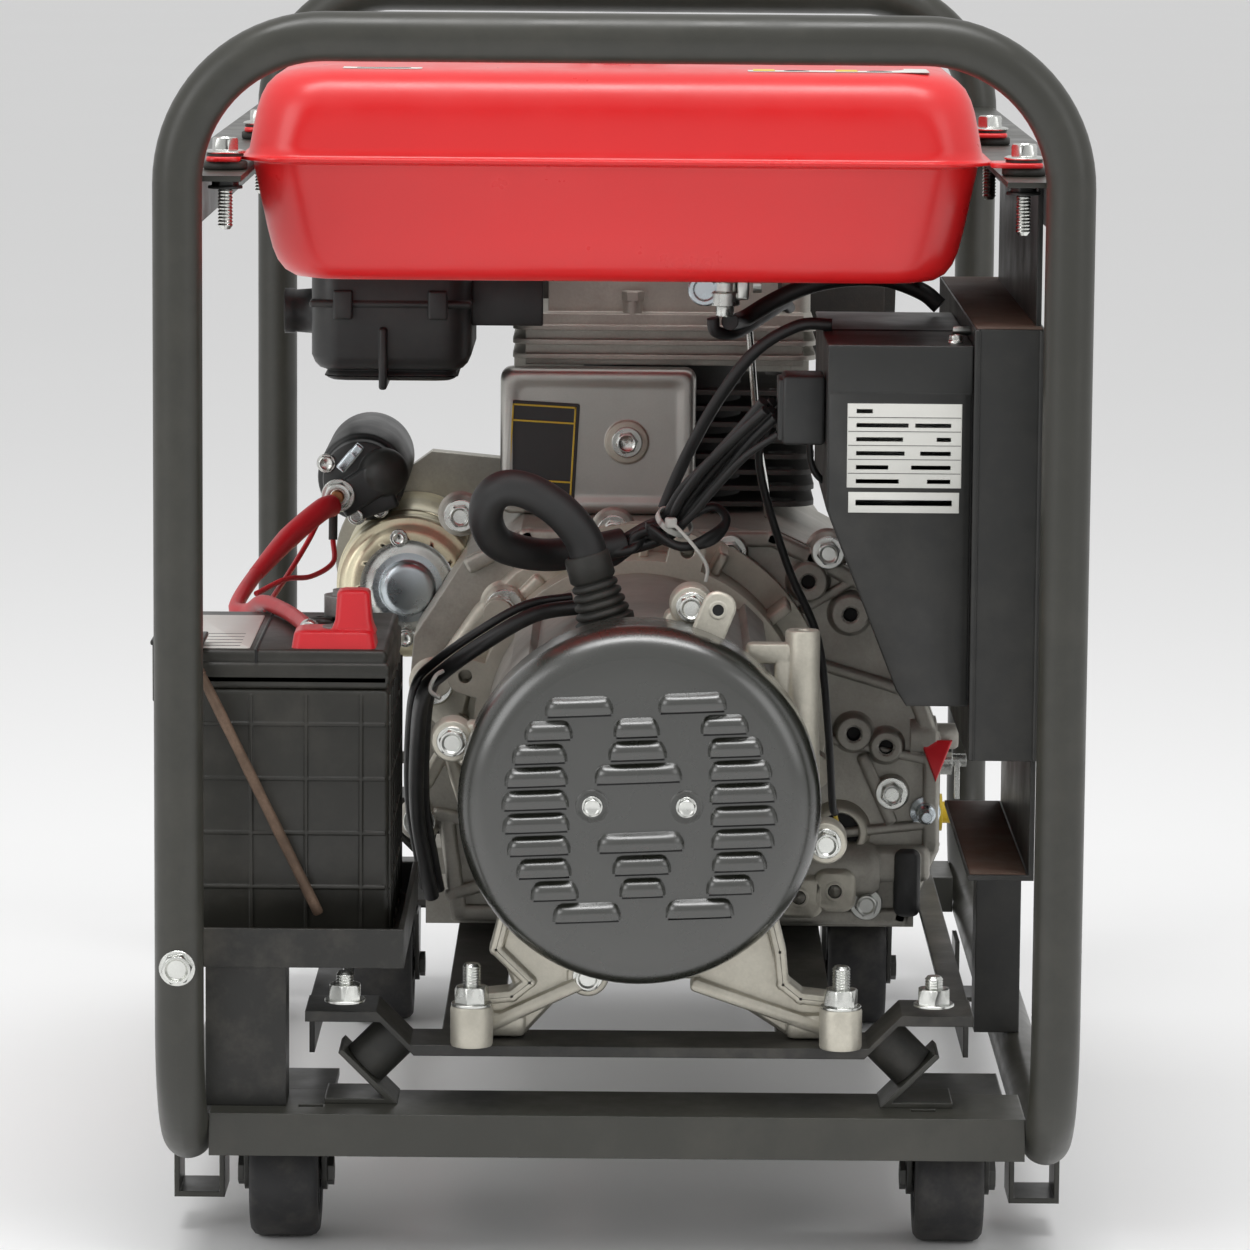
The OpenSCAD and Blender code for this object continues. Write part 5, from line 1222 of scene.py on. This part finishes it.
def add_caster(node, body):
    """Moulded wheel with a crowned tread, a recessed hub and ribs."""
    lo, hi = span(node)
    cx, cy, cz = ((lo + hi) / 2)
    r = (hi.z - lo.z) / 2
    w = (hi.x - lo.x) / 2
    p = Piece(node + "_tyre", "tyre", "plastic", "zinc")
    at = side(cx, cy, cz)
    tread = [(10, -w), (r * 0.34, -w + 0.4), (r * 0.36, -w + 3), (r * 0.66, -w + 3.4),
        (r * 0.7, -w + 0.6), (r * 0.74, -w), (r * 0.9, -w), (r * 0.97, -w + 2), (r, -w + 5),
        (r, w - 5), (r * 0.97, w - 2), (r * 0.9, w), (r * 0.74, w), (r * 0.7, w - 0.6),
        (r * 0.66, w - 3.4), (r * 0.36, w - 3), (r * 0.34, w - 0.4), (10, w)]
    p.lathe(at, tread, 72, OPEN)
    p.use = 1
    for s in (-1, 1):
        for k in range(6):
            turn = at @ Matrix.Rotation(k * pi / 3, 4, "Z")
            a, b = (-w + 1.2, -w + 4) if s < 0 else (w - 4, w - 1.2)
            p.box(turn, (r * 0.34, -1.4, a), (r * 0.68, 1.4, b), 0.6)
    p.done(node, 45, body)


def add_far_end():
    """Recoil cover with its slots and screws."""
    x, y, z = SHAFT_X, span("fan_housing")[1].y, SHAFT_Z
    p = Piece("recoil_cover", "cover", "zinc", "dark")
    at = back(x, y, z)
    p.lathe(at, "104.3 -30, 105 -26, 105 -8, 103.6 -3, 100 -0.2, 93 0.1, 90 -0.6, 46 -0.6, "
        "43 0.1, 24 0.1, 22 -0.8, 0.01 -1", 96, OPEN)
    # painted shade: the slots are near-black boxes that stand in for the shade inside them
    p.use = 2
    for i in range(24):
        slot_at = at @ spin(15 * i + 7)
        p.box(slot_at, (54, -2.2, -1.6), (84, 2.2, -0.45), 0.5)
    p.use = 1
    for i in range(4):
        a = radians(45 + 90 * i)
        p.bolt(back(x - 97 * cos(a), y - 0.1, z + 97 * sin(a)), 8, 0.6, 0, 0.3)
    p.done(None, 45)


add_panel_face()
for wheel in ("wheel_near_left", "wheel_near_right", "wheel_far_left", "wheel_far_right"):
    add_caster(wheel, wheel)
add_far_end()


# ---- stage ----


def add_stage():
    """Pale floor, soft lights on both sides and above, and a pale surround."""
    bpy.ops.mesh.primitive_plane_add(size=400, location=(0, 0, 0))
    floor = bpy.context.object
    floor.name = "floor"
    n = Nodes("floor_pale")
    tone = n.mix(n.noise(0.8, 3), (0.86, 0.86, 0.86), (0.88, 0.88, 0.88))
    n.fill(n.shader, {"Base Color": tone, "Roughness": 0.6})
    floor.data.materials.append(n.mat)

    def lamp_at(name, place, aim, size, power):
        light = bpy.data.lights.new(name, "AREA")
        light.shape = "RECTANGLE"
        light.size, light.size_y = size
        light.energy = power
        lamp = bpy.data.objects.new(name, light)
        lamp.location = place
        turn = (Vector(aim) - Vector(place)).to_track_quat("-Z", "Y")
        lamp.rotation_euler = turn.to_euler()
        bpy.context.collection.objects.link(lamp)

    lamp_at("top_light", (0, -0.9, 3.2), (0, -0.1, 0.3), (2.6, 0.9), 62)
    lamp_at("left_light", (-2.8, -2.4, 1.9), (0, 0, 0.35), (1.6, 2.2), 26)
    lamp_at("right_light", (2.8, -2.6, 1.7), (0, 0, 0.35), (1.6, 2.2), 14)
    world = bpy.data.worlds.new("studio")
    world.use_nodes = True
    sky = world.node_tree.nodes["Background"].inputs
    sky["Color"].default_value = (1, 1, 1, 1)
    sky["Strength"].default_value = 0.72
    bpy.context.scene.world = world
    bpy.context.scene.view_settings.view_transform = "Standard"


add_stage()
